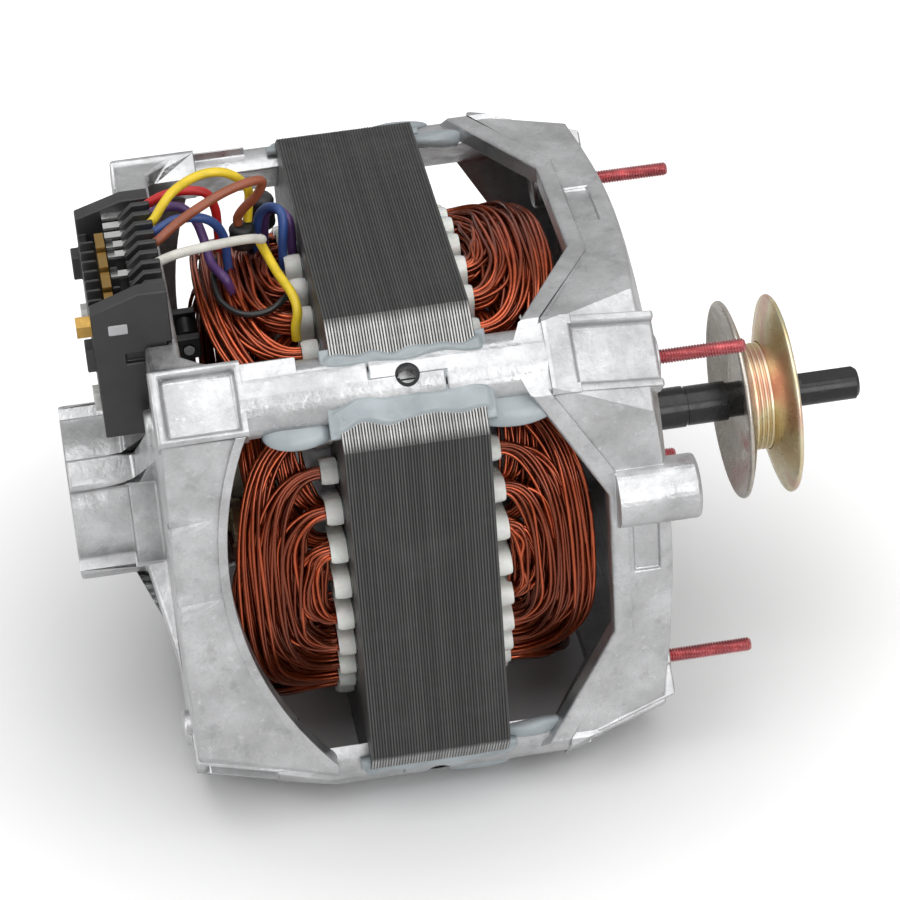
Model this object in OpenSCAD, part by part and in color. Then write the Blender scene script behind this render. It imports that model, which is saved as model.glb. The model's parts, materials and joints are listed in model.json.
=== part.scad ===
// Washing machine motor: a square laminated core held between two cast end shields.
// X runs along the shaft towards the pulley, Z is up, and the origin is the centre of the
// mounting face, where the shaft leaves the drive end.

/* [Stator core] */
// Width of the square core across its flats
core_w = 152.4; // [150:0.2:158]
// Height of the lamination stack
core_len = 38.7; // [34:0.1:42]
// Radius of the turned corners of the core
core_corner_r = 91.4; // [90:0.1:93]
// Distance from the middle of the core to the mounting face
core_back = 69; // [68.5:0.5:74]
// Bore that the rotor turns in
bore_d = 86; // [80:0.5:88]
// Radius that the winding slots reach out to
slot_tip_r = 66; // [65:0.1:67]
// Width of a winding slot
slot_w = 5.4; // [5.2:0.1:5.8]
// Width of a slot's mouth at the bore
slot_mouth = 2.6; // [1.6:0.1:3.4]

/* [Slot insulators and windings] */
// Wall of a slot insulator
liner_wall = 0.5; // [0.3:0.05:0.55]
// Length of the cuff that stands out of the core
cuff_len = 5; // [4:0.5:8]
// Diameter of one bundle of winding wire
bundle_d = 3.9; // [3.4:0.1:3.9]
// Step from one end turn to the next, along the shaft
turn_step = 5.2; // [5:0.1:5.6]
// Height of the first end turn above the cuffs, less one step
turn_rise = 1; // [0:0.1:1.5]
// How far the end turns bulge outwards
turn_bulge = 1.5; // [0:0.1:2]

/* [Rotor] */
// Gap between the rotor and the core
air_gap = 0.5; // [0.3:0.05:1]
// Length of a rotor end ring
ring_len = 9.5; // [6:0.5:10]
// Bore of the rotor end rings
ring_bore = 54; // [50:1:60]
// Height of the fan blades on the end rings
blade_len = 6; // [2:0.5:7]

/* [Shaft] */
// Diameter of the shaft in its bearings
shaft_d = 12; // [11:0.1:13]
// Diameter of the pulley end of the shaft
shaft_tip_d = 9.525; // [8:0.025:10]
// Diameter of the pulley's seat on the shaft
seat_d = 10.2; // [10.1:0.05:11]
// Distance from the mounting face to the tip of the shaft
shaft_reach = 68.4; // [66:0.2:80]
// Distance from the mounting face to the neck in front of the pulley
neck_x = 17; // [14:0.5:20]
// Diameter of the neck in front of the pulley
neck_d = 11.5; // [11:0.1:11.8]
// Length of the flat on the tip
flat_len = 17; // [8:0.5:18]
// Depth of the flat on the tip
flat_depth = 1.1; // [0.5:0.1:2]

/* [Pulley] */
// Outside diameter of the pulley
pulley_d = 57.6; // [50:0.2:70]
// Distance from the mounting face to the middle of the groove
pulley_x = 38; // [36:0.2:42]
// Distance between the rims of the flanges
pulley_gap = 12.5; // [11:0.1:14]
// Sheet thickness of the flanges
flange_t = 1.6; // [1:0.1:2]
// Diameter of the barrel between the flanges
barrel_d = 31; // [28:0.2:34]
// Length of the barrel
barrel_len = 17; // [15:0.2:19]
// Width of the flat floor of the groove
groove_floor = 5; // [4:0.1:6]

/* [End shields] */
// Width of the shields across their flats
shield_w = 142; // [140:0.5:146]
// Wall thickness of the shields
wall_t = 4.5; // [3:0.1:4.6]
// Thickness of the end plates
plate_t = 5; // [4:0.1:6]
// Distance of the corner faces from the shaft axis, beside the core
corner_r = 91.6; // [91:0.1:92.6]
// Distance of the drive end's corner faces from the shaft axis, at the rim
drive_rim_r = 82; // [80:0.1:86]
// Distance of the rear shield's lower corner faces from the shaft axis, at the rim
rear_rim_r = 82; // [80:0.1:86]
// Distance from the core to the mouth of the shields
mouth_gap = 9; // [8:0.1:10]
// Step from the drive end rim to the mounting face
face_step = 0.8; // [0.5:0.1:2]
// Distance from the middle of the core to the rear rim
rear_reach = 67; // [66:0.2:72]
// Height of the raised rims around the windows
band_h = 1.2; // [0.6:0.1:2]
// Width of the raised rims around the windows
band_w = 5; // [3:0.1:6]
// Distance from the middle of the core to the top of a drive end window
drive_window = 50.6; // [48:0.2:52]
// Half width of the flat top of a drive end window
drive_window_top = 22.5; // [16:0.5:26]
// Distance from the middle of the core to the top of a rear window
rear_window = 52.3; // [49:0.1:53]
// Radius of the arch of a rear window
arch_r = 112; // [105:1:120]
// Sideways shift of the arch of a rear window
arch_shift = 15; // [8:0.5:18]
// Distance from the middle of the core to the edge of the window below the switch leads
lead_window = 57.4; // [55:0.1:58]

/* [Arms and posts] */
// Radius of a corner post
post_r = 9.7; // [9:0.1:10.4]
// Distance of a post's middle from the shaft axis
post_at = 83.2; // [82.6:0.1:83.8]
// Distance of a post's flat inner side from the shaft axis
post_in = 83.8; // [83:0.1:85]
// Width of an arm
arm_w = 20.6; // [18:0.1:22]
// Height of an arm's rails
rail_h = 0.8; // [0.2:0.1:1.2]
// Width of the pocket between an arm's rails
pocket_w = 16; // [10:0.1:16.4]
// Depth of the pocket between an arm's rails
pocket_depth = 3; // [1:0.1:3.5]
// Wall between the pocket of a rear arm and the rear rim
pocket_wall = 3; // [2:0.1:5]
// Length of the saddle where a drive end arm meets its post
saddle_len = 8; // [5:0.5:9]
// How far each post laps past the middle of the core
lap = 10; // [6:0.5:14]
// Gap that the epoxy fills between a post and the core
bond_gap = 0.6; // [0.4:0.05:0.9]
// Thickness of the epoxy around a post
epoxy_t = 1.6; // [1:0.1:3]
// Diameter of the hole for a roll pin through two lapped posts
pin_hole_d = 6.4; // [5.4:0.1:7]
// Wall of a roll pin
roll_pin_wall = 0.9; // [0.6:0.1:1.2]
// Slot along a roll pin
roll_pin_slot = 1.2; // [0.8:0.1:1.6]
// Depth of a roll pin below the top of its post
roll_pin_sink = 0.5; // [0.2:0.1:1.5]

/* [Rear hub] */
// Diameter of the rear hub
hub_d = 41; // [39:0.5:45]
// Diameter over the ribs of the rear hub
hub_rib_d = 49; // [46:0.5:54]
// Width of a hub rib
hub_rib_w = 8.8; // [6:0.2:12]
// Distance from the rear rim to the end of the hub
hub_len = 24.3; // [23:0.1:28]
// Length of the wide root of the hub
hub_root = 8; // [4:0.5:10]

/* [Mounting studs] */
// Thread diameter of the studs
stud_d = 4.17; // [3.5:0.01:4.8]
// Distance between neighbouring studs
stud_pitch = 100.2; // [99.6:0.1:100.8]
// Length of thread that stands out of the mounting face
stud_reach = 24.3; // [18:0.1:28]
// Length of shank held in the drive end shield
stud_hold = 14; // [8:0.5:15]
// Diameter of the studs' shanks in the drive end shield
shank_d = 4.9; // [4.9:0.1:6]
// Diameter of the bosses around the studs
boss_d = 13; // [10:0.2:13]

/* [Bearings] */
// Outside diameter of the sleeve bearings
bearing_d = 18; // [16:0.1:20]
// Length of the sleeve bearings
bearing_len = 16; // [14:0.1:17]
// Outside diameter of the felt wicks
wick_d = 28; // [24:0.1:30]
// Length of the felt wicks
wick_len = 12; // [8:0.2:13]
// Thickness of the bearing retainers
retainer_t = 1.6; // [1:0.1:2]
// Radial running clearance of the shaft
run_gap = 0.04; // [0.02:0.01:0.08]

/* [Governor and switch lever] */
// Radius of the governor plate
plate_r = 24; // [22:0.2:25]
// Thickness of the governor plate
governor_t = 1.6; // [1:0.1:2]
// Distance of the weights' hinge pins from the shaft axis
hinge_r = 23; // [22:0.1:24]
// Diameter of the hinge pins
hinge_d = 2.5; // [2:0.1:3]
// Travel of the collar along the shaft
collar_travel = 4.2; // [3:0.1:4.4]
// Diameter of the collar's sleeve
collar_d = 16; // [15.4:0.1:17]
// Diameter of the collar's lever flange
collar_flange_d = 34; // [30:0.5:36]
// Wire diameter of the collar spring
spring_wire = 0.9; // [0.6:0.05:1]
// Height of the lever's pin above the shaft axis
lever_z = 47; // [46:0.1:48]
// Diameter of the lever's pin
lever_pin_d = 3; // [2:0.1:3.4]

/* [Motor switch] */
// Length of the switch across the motor
switch_len = 63; // [60:0.5:64]
// Sideways place of the middle of the switch
switch_y = -11; // [-12:0.5:-10]
// Depth of the switch along the shaft
switch_depth = 19; // [17:0.2:20]
// Height of the bottom of the switch above the shaft axis
switch_z = 44; // [43:0.2:46]
// Height of the switch deck above the shaft axis
deck_z = 70; // [68:0.2:72]
// Pitch of the switch terminals
pin_pitch = 5.3; // [5:0.05:5.4]
// Thickness of a barrier fin
fin_t = 2; // [1.4:0.1:2.4]
// Clearance between the switch and its notch
notch_gap = 0.3; // [0.2:0.05:0.6]

/* [Leads] */
// Diameter of a lead over its insulation
lead_d = 2.6; // [2:0.1:2.8]
// Diameter of a splice sleeve
sleeve_d = 7.2; // [6:0.1:7.6]
// Diameter of the lacing cord
tie_d = 1.8; // [1.2:0.1:2]

/* [Hidden] */
$fn = 64;

// Small fits
seat_gap = 0.05;
slip = 0.3;
past = 1;

// Places along the shaft
core_x = -core_back;
core_half = core_len / 2;
drive_reach = core_back - face_step;
mouth_e = core_half + mouth_gap;
drive_knee = mouth_e + 9.6;
rear_knee = mouth_e - past;
arm_e = mouth_e + 16.6;
cup_from = -lap - past;
post_top = post_at + post_r;
pin_floor = post_in + 3;
stud_at = stud_pitch / sqrt(2);
shield_half = shield_w / 2;
corners = [45, 135, 225, 315];
sides = [0, 90, 180, 270];

// Slots: nine to a pole, with one on the middle of each pole
slot_count = 36;
slot_pitch = 360 / slot_count;
slot_root = bore_d / 2 + 2;
slot_round = slot_tip_r - slot_w / 2;
liner_gap = 0.1;

// Windings: half spans in slots, and layers counted from the slot tip
loop_span = [3, 4, 4, 3, 2, 1];
loop_layer = [1, 1, 0, 0, 0, 0];
loops = len(loop_span);
half_rings = 11;
tube_sides = 6;
layer_step = bundle_d + 1.1;
bundle_at = slot_round - 1.2;
turn_start = core_half + cuff_len + slip;

// Governor, measured from the middle of the core towards the rear
governor_e = core_half + ring_len + 2.5;
hinge_e = governor_e + 13.65;
ear_in = 8;
ear_t = 2;
finger_t = 2.4;
finger_tip = collar_d / 2 + 2.4;
groove_w = finger_t * 2;
groove_flange_d = collar_d + 8;
collar_front = hinge_e - groove_w / 2 - 2.4;
lever_flange_e = hinge_e + groove_w / 2 + 2.6;
lever_flange_t = 2;
lever_e = lever_flange_e + lever_flange_t + slip;
lever_t = 2;
lever_w = 8;
lever_tip = shaft_d / 2 + 6;
lever_pin_e = lever_e + lever_t / 2;

// Bearings, measured from the middle of the core
lip_t = 2.5;
drive_bearing_e = drive_reach - lip_t - bearing_len;
rear_bearing_e = rear_reach + 1;
housing_d = wick_d + 2 * seat_gap;
retainer_d = housing_d + 4;
housing_wall = 4;

// Switch, in the frame of the part
notch_e = lead_window + 2.6;
switch_x = core_x - notch_e - notch_gap;
switch_back = switch_x - switch_depth;
switch_y0 = switch_y - switch_len / 2;
switch_y1 = switch_y + switch_len / 2;
switch_wall = 2.4;
rear_block = 5.6;
comb_x = switch_x + 1.6;
comb_depth = 9;
comb_z = deck_z + 9;
fin_top = comb_z + 5;
pin_count = 9;
spade_rows = [0, 1, 2, 3, 4, 6];
comb_gap = 4.05;
first_pin = switch_y1 - rear_block - fin_t / 2 - 0.6;
block_len = first_pin - pin_pitch * (pin_count - 0.5) - fin_t / 2 - comb_gap - switch_y0;
function pin_y(i) = first_pin - pin_pitch * i;
screw_y = switch_y0 + block_len / 2;
screw_z = deck_z + 7.4;
flange_z = switch_z - 7.6;
flange_depth = 4;
flange_half = 18;
screw_d = 3;

// Routes of the leads, from the middle of the core
yellow_route = [[-61.4, pin_y(2), 80.5], [-58.4, pin_y(2), 82.6], [-55.4, 3.8, 86.2], [-51.5, 5.4, 89.5],
    [-45, 6, 92.5], [-39, 6.6, 92.5], [-34.4, 7.8, 89.5], [-31.4, 9.8, 84], [-31.8, 10.8, 78],
    [-32.4, 10.8, 74]];
yellow_tail = [[-30.6, -2.4, 74.6], [-27.7, -13.6, 71.4], [-24.8, -22.6, 69], [-24, -27.2, 66],
    [-25, -28, 61.4]];
red_route = [[-61.4, pin_y(0), 80.5], [-58, pin_y(0), 82.4], [-54.6, 13, 84], [-49.1, 12.4, 85],
    [-43, 12.6, 83.3], [-40.8, 13.8, 77.5], [-40.6, 14.2, 71.5], [-40.6, 14.2, 65.6]];
violet_route = [[-61.4, pin_y(1), 80.5], [-58, pin_y(1), 82], [-54.7, 8.2, 83], [-50.3, 7.6, 82.6],
    [-47, 5.4, 79.5], [-45.4, 2.4, 75], [-44.4, -3.4, 70.5], [-41.4, -9.8, 68.6]];
violet_loop = [[-28, 15.5, 65.6], [-26.6, 14.6, 73.5], [-23.6, 11.4, 75.6], [-21.2, 8, 73.6],
    [-21.2, 6.4, 67]];
blue_route = [[-61.4, pin_y(3), 80.5], [-58.2, pin_y(3), 82], [-56, -2, 83], [-52.4, -0.8, 83.8],
    [-46, -0.8, 83.4], [-42, 0.6, 80], [-39.8, 1.6, 74.5], [-39.6, 2, 67]];
blue_loop = [[-30.4, 13.6, 66], [-28.8, 12.2, 74.5], [-25.7, 8.7, 78.4], [-23.2, 5, 77.4],
    [-24.2, 2.2, 67.4]];
brown_route = [[-61.4, pin_y(4), 80.5], [-58, pin_y(4), 82.2], [-52.7, -5.4, 85], [-45.6, -3.6, 88.3],
    [-37.7, -0.8, 90.5], [-30.5, 1.8, 91], [-27.8, 3.6, 89.4], [-29.4, 5.4, 84.6], [-33, 7.6, 80],
    [-35, 9.2, 76.4], [-35.2, 9.4, 74]];
white_route = [[-61.4, pin_y(6), 80.5], [-58, pin_y(6), 82.2], [-53.5, -19.2, 83.8],
    [-47.6, -19.2, 84.6], [-40, -15.4, 83], [-33.4, -10.6, 80.4], [-30.3, -7.6, 78],
    [-30.4, -4.6, 76.6]];
tie_route = [[-43, 3, 67.6], [-44, -4, 67.6], [-44.4, -11, 66.8], [-43.2, -17, 65.4],
    [-38.2, -21.6, 63.8], [-31, -21.4, 63.8], [-25.6, -18, 65.6]];
sleeve_places = [[-34.3, 9.6, 66.6, 73.6], [-27.5, 20.4, 66, 76]];

// Points, tubes and gaps
function unit(v) = v / norm(v);
function across(v, t) = unit(v - (v * t) * t);
function tangents(p) = [for (i = [0:len(p) - 1])
    unit(p[min(i + 1, len(p) - 1)] - p[max(i - 1, 0)])];
function carried(t, start) = [for (i = 0, n = across(start, t[0]); i < len(t);
    i = i + 1, n = i < len(t) ? across(n, t[i]) : n) n];
function tube_points(p, t, n, r, m) = [for (i = [0:len(p) - 1]) let (b = cross(t[i], n[i]))
    for (j = [0:m - 1]) p[i] + r * (cos(360 * j / m) * n[i] + sin(360 * j / m) * b)];
function tube_faces(count, m) = concat(
    [for (i = [0:count - 2]) for (j = [0:m - 1]) let (k = (j + 1) % m)
        [i * m + j, (i + 1) * m + j, (i + 1) * m + k]],
    [for (i = [0:count - 2]) for (j = [0:m - 1]) let (k = (j + 1) % m)
        [i * m + j, (i + 1) * m + k, i * m + k]],
    [for (j = [1:m - 2]) [0, j, j + 1]],
    [for (j = [1:m - 2]) let (last = (count - 1) * m) [last, last + j + 1, last + j]]);
function self_gap(p, d, skip) = min([for (i = [0:len(p) - 1]) for (j = [i + skip:1:len(p) - 1])
    norm(p[i] - p[j])]) - d;

// One pole's winding as one path: each loop has an end turn at the rear, a slot, an end turn at
// the drive end and the next slot, and ends in the middle of its slots
function bundle_r(k) = bundle_at - layer_step * loop_layer[k];
function polar(e, r, a) = [core_x + e, r * cos(a), r * sin(a)];
function turn_top(span) = turn_start + turn_rise + turn_step * span;
function end_turn(side, k, m, top) = [for (i = [0:half_rings - 1]) let (u = 180 * i / (half_rings - 1),
        span = slot_pitch * (u < 90 ? loop_span[k] : loop_span[m]),
        r = bundle_r(k) + (bundle_r(m) - bundle_r(k)) * u / 180)
    polar(side * (turn_start + (top - turn_start) * sin(u)), r + turn_bulge * sin(u),
        side * span * cos(u))];
function drive_top(k) = turn_top((loop_span[k] + loop_span[k + 1]) / 2)
    + (loop_layer[k] == loop_layer[k + 1] ? 0 : turn_step / 2);
function winding_path() = concat(
    [polar(0, bundle_r(0), -slot_pitch * loop_span[0])],
    [for (k = [0:loops - 1]) for (q = concat(
        end_turn(-1, k, k, turn_top(loop_span[k])),
        [polar(0, bundle_r(k), slot_pitch * loop_span[k])],
        k < loops - 1 ? end_turn(1, k, k + 1, drive_top(k)) : [],
        k < loops - 1 ? [polar(0, bundle_r(k + 1), -slot_pitch * loop_span[k + 1])] : [])) q]);
path = winding_path();
echo(str("least gap of a winding to itself: ", self_gap(path, bundle_d, 4), " mm"));

// Shared shapes. The axial frame has its Z along the shaft, its X along Y and its Y along Z.
module axial(x) translate([x, 0, 0]) rotate([90, 0, 90]) children();
module rearward(x) translate([x, 0, 0]) mirror([1, 0, 0]) rotate([90, 0, 90]) children();
module ring(x, len, od, id) axial(x) difference() {
    cylinder(h = len, d = od);
    translate([0, 0, -past]) cylinder(h = len + 2 * past, d = id);
}
module box(low, high) translate(low) cube(high - low);
module at_corners(r) for (a = corners) rotate(a) translate([r, 0, 0]) children();
module wire(route, d, m) {
    t = tangents(route);
    n = carried(t, [0.31, 0.86, 0.41]);
    polyhedron(tube_points(route, t, n, d / 2, m), tube_faces(len(route), m));
}

module lead(route, d) translate([core_x, 0, 0]) wire(route, d, 8);

// Stator
module core_outline() intersection() {
    square(core_w, center = true);
    circle(r = core_corner_r, $fn = 128);
}
module slot_outline(inset) {
    width = slot_w - 2 * inset;
    translate([slot_root + inset, -width / 2]) square([slot_round - slot_root - inset, width]);
    translate([slot_round, 0]) circle(d = width);
}
module post_outline(grow) intersection() {
    translate([post_at, 0]) circle(r = post_r + grow);
    translate([post_in - grow, -2 * post_r]) square(4 * post_r);
}
module stator_core() color([0.24, 0.24, 0.25]) axial(core_x - core_half) linear_extrude(core_len)
    difference() {
        core_outline();
        circle(d = bore_d, $fn = 128);
        for (i = [0:slot_count - 1]) rotate(i * slot_pitch) {
            slot_outline(0);
            translate([bore_d / 2 - past, -slot_mouth / 2]) square([2 * past + 2, slot_mouth]);
        }
        for (a = corners) rotate(a) post_outline(bond_gap);
    }
module slot_insulators() color([0.93, 0.92, 0.87]) axial(core_x - core_half - cuff_len)
    for (i = [0:slot_count - 1]) rotate(i * slot_pitch) linear_extrude(core_len + 2 * cuff_len)
        difference() {
            slot_outline(liner_gap);
            slot_outline(liner_gap + liner_wall);
            translate([slot_root - past, liner_gap + liner_wall - slot_w / 2])
                square([2 * past + liner_wall, slot_w - 2 * liner_gap - 2 * liner_wall]);
        }
module winding(angle) color([0.62, 0.27, 0.12]) rotate([angle, 0, 0]) {
    t = tangents(path);
    n = [for (i = [0:len(path) - 1]) across([0, path[i].y, path[i].z], t[i])];
    polyhedron(tube_points(path, t, n, bundle_d / 2, tube_sides), tube_faces(len(path), tube_sides));
}
module winding_front() winding(180);
module winding_top() winding(90);
module winding_back() winding(0);
module winding_bottom() winding(270);
module winding_tie() color([0.06, 0.06, 0.06]) lead(tie_route, tie_d);
module epoxy_bonds() color([0.72, 0.76, 0.78]) axial(core_x - core_half - 2) difference() {
    linear_extrude(core_len + 4) difference() {
        for (a = corners) rotate(a) intersection() {
            translate([post_at, 0]) circle(r = post_r + epoxy_t);
            translate([post_in - bond_gap + seat_gap, -2 * post_r]) square(4 * post_r);
        }
        for (a = corners) rotate(a) post_outline(seat_gap);
        difference() {
            intersection() {
                square(core_w + 2 * seat_gap, center = true);
                circle(r = core_corner_r + seat_gap, $fn = 128);
            }
            for (a = corners) rotate(a) post_outline(bond_gap - seat_gap);
        }
    }
    translate([0, 0, core_half + 2]) pin_holes();
}

// End shields, drawn from the middle of the core outwards along the shaft: a square cup whose
// corner faces lean in from the knee to the rim
module diagonal(a, knee, reach, upper_r, lower_r, grow) rotate(a) rotate([90, 0, 0])
    linear_extrude(300, center = true) polygon([[corner_r + grow, cup_from], [corner_r + grow, knee],
        [upper_r + grow, reach], [-lower_r - grow, reach], [-corner_r - grow, knee],
        [-corner_r - grow, cup_from]]);
module cup(knee, reach, upper_r, lower_r, dome, grow, lift) intersection() {
    translate([-shield_half - grow, -shield_half - grow, cup_from])
        cube([shield_w + 2 * grow, shield_w + 2 * grow, reach - cup_from]);
    diagonal(45, knee, reach, upper_r, lower_r, lift);
    diagonal(135, knee, reach, upper_r, lower_r, lift);
    rotate_extrude($fn = 128) polygon([[0, cup_from], [120, cup_from], [120, reach - dome * 13],
        [shield_half - 3, reach], [0, reach]]);
}
module drive_cup(grow, lift) cup(drive_knee, drive_reach, drive_rim_r, drive_rim_r, 1, grow, lift);
module rear_cup(grow, lift) cup(rear_knee, rear_reach, corner_r, rear_rim_r, 0.2, grow, lift);
module through_side(depth, in) translate([-shield_half - depth, 0, 0]) rotate([90, 0, 90])
    linear_extrude(depth + in) children();
module drive_window_outline(grow) {
    polygon([[-66 - grow, -past], [-66 - grow, mouth_e - 2 + grow / 2],
        [-drive_window_top - grow / 2, drive_window + grow],
        [drive_window_top + grow / 2, drive_window + grow],
        [66 + grow, mouth_e - 2 + grow / 2], [66 + grow, -past]]);
}
module rear_window_outline(shift, grow) intersection() {
    translate([shift, rear_window - arch_r]) circle(r = arch_r + grow, $fn = 128);
    translate([-66, -past]) square([132, rear_window + grow + 2 * past]);
}
module lead_window_outline() polygon([[-58, -past], [-58, lead_window - 9], [-50, lead_window],
    [50, lead_window], [58, lead_window - 9], [58, -past]]);
module rear_windows(grow) {
    through_side(24, 30) rear_window_outline(arch_shift, grow);
    rotate(90) through_side(24, 30) rear_window_outline(0, grow);
    rotate(180) through_side(24, 30) rear_window_outline(-arch_shift, grow);
}
function face_r(e, knee, reach, rim) = corner_r + (rim - corner_r) * max(0, e - knee) / (reach - knee);
module arm(knee, reach, rim) translate([0, arm_w / 2, 0]) rotate([90, 0, 0]) linear_extrude(arm_w)
    polygon([[post_in, arm_e - 2 * past], [face_r(arm_e, knee, reach, rim) + rail_h, arm_e - 2 * past],
        [face_r(arm_e, knee, reach, rim) + rail_h, arm_e], [rim + rail_h, reach], [rim - 8, reach],
        [post_in, arm_e]]);
module pocket(knee, reach, rim, from, to) {
    deep = rail_h + pocket_depth;
    translate([0, pocket_w / 2, 0]) rotate([90, 0, 0]) linear_extrude(pocket_w)
        polygon([[corner_r + 3, from], [face_r(from, knee, reach, rim) + rail_h - deep, from],
            [face_r(to, knee, reach, rim) + rail_h - deep, to], [corner_r + 3, to]]);
}
// The posts of the two shields are half-lapped: each keeps the half on its own side past the middle
module posts(side) for (a = corners) rotate(a) difference() {
    translate([0, 0, slip / 2 - lap]) linear_extrude(arm_e + lap) post_outline(0);
    translate([post_at, side * (slip / 4 - 2 * post_r), 0])
        cube([4 * post_r, 4 * post_r, 2 * lap + slip], center = true);
}
module pin_holes() for (a = corners) rotate(a) translate([pin_floor, 0, 0]) rotate([0, 90, 0])
    cylinder(h = 2 * post_r, d = pin_hole_d);
module saddles() intersection() {
    drive_cup(band_h, post_top - corner_r);
    for (a = corners) rotate(a) translate([post_in, -arm_w / 2 - slip, arm_e - saddle_len])
        cube([post_r + past, arm_w + 2 * slip, saddle_len]);
}
module drive_end_shield() color([0.75, 0.76, 0.77]) axial(core_x) difference() {
    union() {
        difference() {
            intersection() {
                drive_cup(0, 0);
                translate([-150, -150, mouth_e]) cube(300);
            }
            translate([0, 0, -plate_t]) drive_cup(-wall_t, -wall_t);
            for (a = sides) rotate(a) through_side(24, 30) drive_window_outline(0);
        }
        intersection() {
            drive_cup(band_h, 0);
            for (a = sides) rotate(a) through_side(band_h + past, 2) difference() {
                drive_window_outline(band_w);
                drive_window_outline(0);
            }
        }
        for (a = corners) rotate(a) arm(drive_knee, drive_reach, drive_rim_r);
        intersection() {
            posts(-1);
            drive_cup(past, post_top - corner_r);
        }
        saddles();
        translate([0, 0, drive_bearing_e - retainer_t - slip])
            cylinder(h = drive_reach - drive_bearing_e + retainer_t + slip,
                d = retainer_d + 2 * housing_wall);
        at_corners(stud_at) translate([0, 0, core_back - stud_hold - 2])
            cylinder(h = stud_hold + 2, d = boss_d);
        translate([past - shield_half, 21, drive_window + 2])
            cylinder(h = core_back + 6 - drive_window - 2, d = 17.6);
    }
    for (a = corners) rotate(a)
        pocket(drive_knee, drive_reach, drive_rim_r, arm_e - slip, drive_reach + past);
    pin_holes();
    at_corners(stud_at) translate([0, 0, core_back - stud_hold])
        cylinder(h = stud_hold + past, d = shank_d + 2 * seat_gap);
    translate([0, 0, drive_bearing_e - retainer_t - slip - past])
        cylinder(h = bearing_len + retainer_t + slip + past, d = housing_d);
    translate([0, 0, drive_bearing_e - retainer_t - slip - past])
        cylinder(h = retainer_t + slip + past, d = retainer_d);
    translate([0, 0, drive_reach - plate_t]) cylinder(h = plate_t + past, d = shaft_d + 2);
    through_side(past, band_h) translate([-4, drive_window + 6.5]) square([15, 7]);
    rotate(270) through_side(past, band_h) translate([-9, drive_window + 4]) square([19, 8]);
}
module hub_rib() translate([0, -hub_rib_w / 2, rear_reach - plate_t / 2])
    cube([hub_rib_d / 2, hub_rib_w, hub_len + plate_t / 2]);
module spoke() translate([0, hub_rib_w / 2, 0]) rotate([90, 0, 0]) linear_extrude(hub_rib_w)
    polygon([[hub_d / 2 - 2, rear_reach - past], [hub_d / 2 - 2, rear_reach + hub_root * 0.7],
        [hub_rib_d / 2, rear_reach + hub_root * 0.7], [stud_at - boss_d / 2 - 3, rear_reach - past]]);
module wall_wedge(z) translate([-shield_half, z + 1.6, 0]) rotate([90, 0, 0]) linear_extrude(3.2)
    polygon([[past, rear_reach - 14], [0, rear_reach - 14], [-1.8, rear_reach], [past, rear_reach]]);
module rear_end_shield() color([0.75, 0.76, 0.77]) rearward(core_x) difference() {
    union() {
        difference() {
            intersection() {
                rear_cup(0, 0);
                translate([-150, -150, mouth_e]) cube(300);
            }
            translate([0, 0, -plate_t]) rear_cup(-wall_t, -wall_t);
            rear_windows(0);
            rotate(270) through_side(24, 30) lead_window_outline();
        }
        intersection() {
            rear_cup(band_h, 0);
            translate([0, 0, mouth_e]) cylinder(h = rear_reach, r = 2 * corner_r);
            difference() {
                through_side(band_h + past, 2) rear_window_outline(arch_shift, band_w / 2);
                rear_windows(0);
            }
        }
        for (a = [45, 135]) rotate(a) arm(rear_knee, rear_reach, corner_r);
        for (a = [225, 315]) rotate(a) arm(rear_knee, rear_reach, rear_rim_r);
        intersection() {
            posts(1);
            rear_cup(past, post_top - corner_r);
        }
        translate([0, 0, rear_reach - plate_t]) cylinder(h = hub_len + plate_t, d = hub_d);
        translate([0, 0, rear_reach - past]) cylinder(h = hub_root + past, d = hub_rib_d - past);
        for (a = corners) rotate(a) {
            hub_rib();
            spoke();
        }
        at_corners(stud_at) translate([0, 0, rear_reach - past]) cylinder(h = past + 2, d = 10);
        wall_wedge(31);
        wall_wedge(5.5);
    }
    for (a = [45, 135]) rotate(a)
        pocket(rear_knee, rear_reach, corner_r, arm_e - slip, rear_reach - pocket_wall);
    for (a = [225, 315]) rotate(a)
        pocket(rear_knee, rear_reach, rear_rim_r, arm_e - slip, rear_reach - pocket_wall);
    pin_holes();
    translate([0, 0, rear_reach - plate_t - past])
        cylinder(h = plate_t + past + 1 + bearing_len, d = housing_d);
    translate([0, 0, rear_reach - plate_t - past])
        cylinder(h = plate_t + past + 1, d = retainer_d);
    translate([0, 0, rear_reach + bearing_len]) cylinder(h = 4, d = shaft_d + 2);
    translate([switch_y0 - notch_gap, switch_z - notch_gap, notch_e])
        cube([switch_len + 2 * notch_gap, shield_w, rear_reach]);
    for (y = [-14, 14]) translate([switch_y + y, flange_z + 3.6, rear_reach - plate_t - past])
        cylinder(h = plate_t + 2 * past, d = screw_d + 2 * seat_gap);
}
module roll_pins() color([0.2, 0.2, 0.21]) axial(core_x) for (a = corners) rotate(a)
    translate([pin_floor + seat_gap, 0, 0]) rotate([0, 90, 0]) difference() {
        cylinder(h = post_top - roll_pin_sink - pin_floor - seat_gap, d = pin_hole_d - 2 * seat_gap);
        translate([0, 0, -past]) cylinder(h = 2 * post_r, d = pin_hole_d - 2 * seat_gap - 2 * roll_pin_wall);
        translate([0, -roll_pin_slot / 2, -past]) cube([pin_hole_d, roll_pin_slot, 2 * post_r]);
    }
module mounting_studs() color([0.78, 0.36, 0.38]) axial(0) at_corners(stud_at) {
    translate([0, 0, seat_gap - stud_hold]) cylinder(h = stud_hold - seat_gap, d = shank_d);
    translate([0, 0, -stud_d]) cylinder(h = stud_d + stud_reach, d = stud_d);
}

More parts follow.
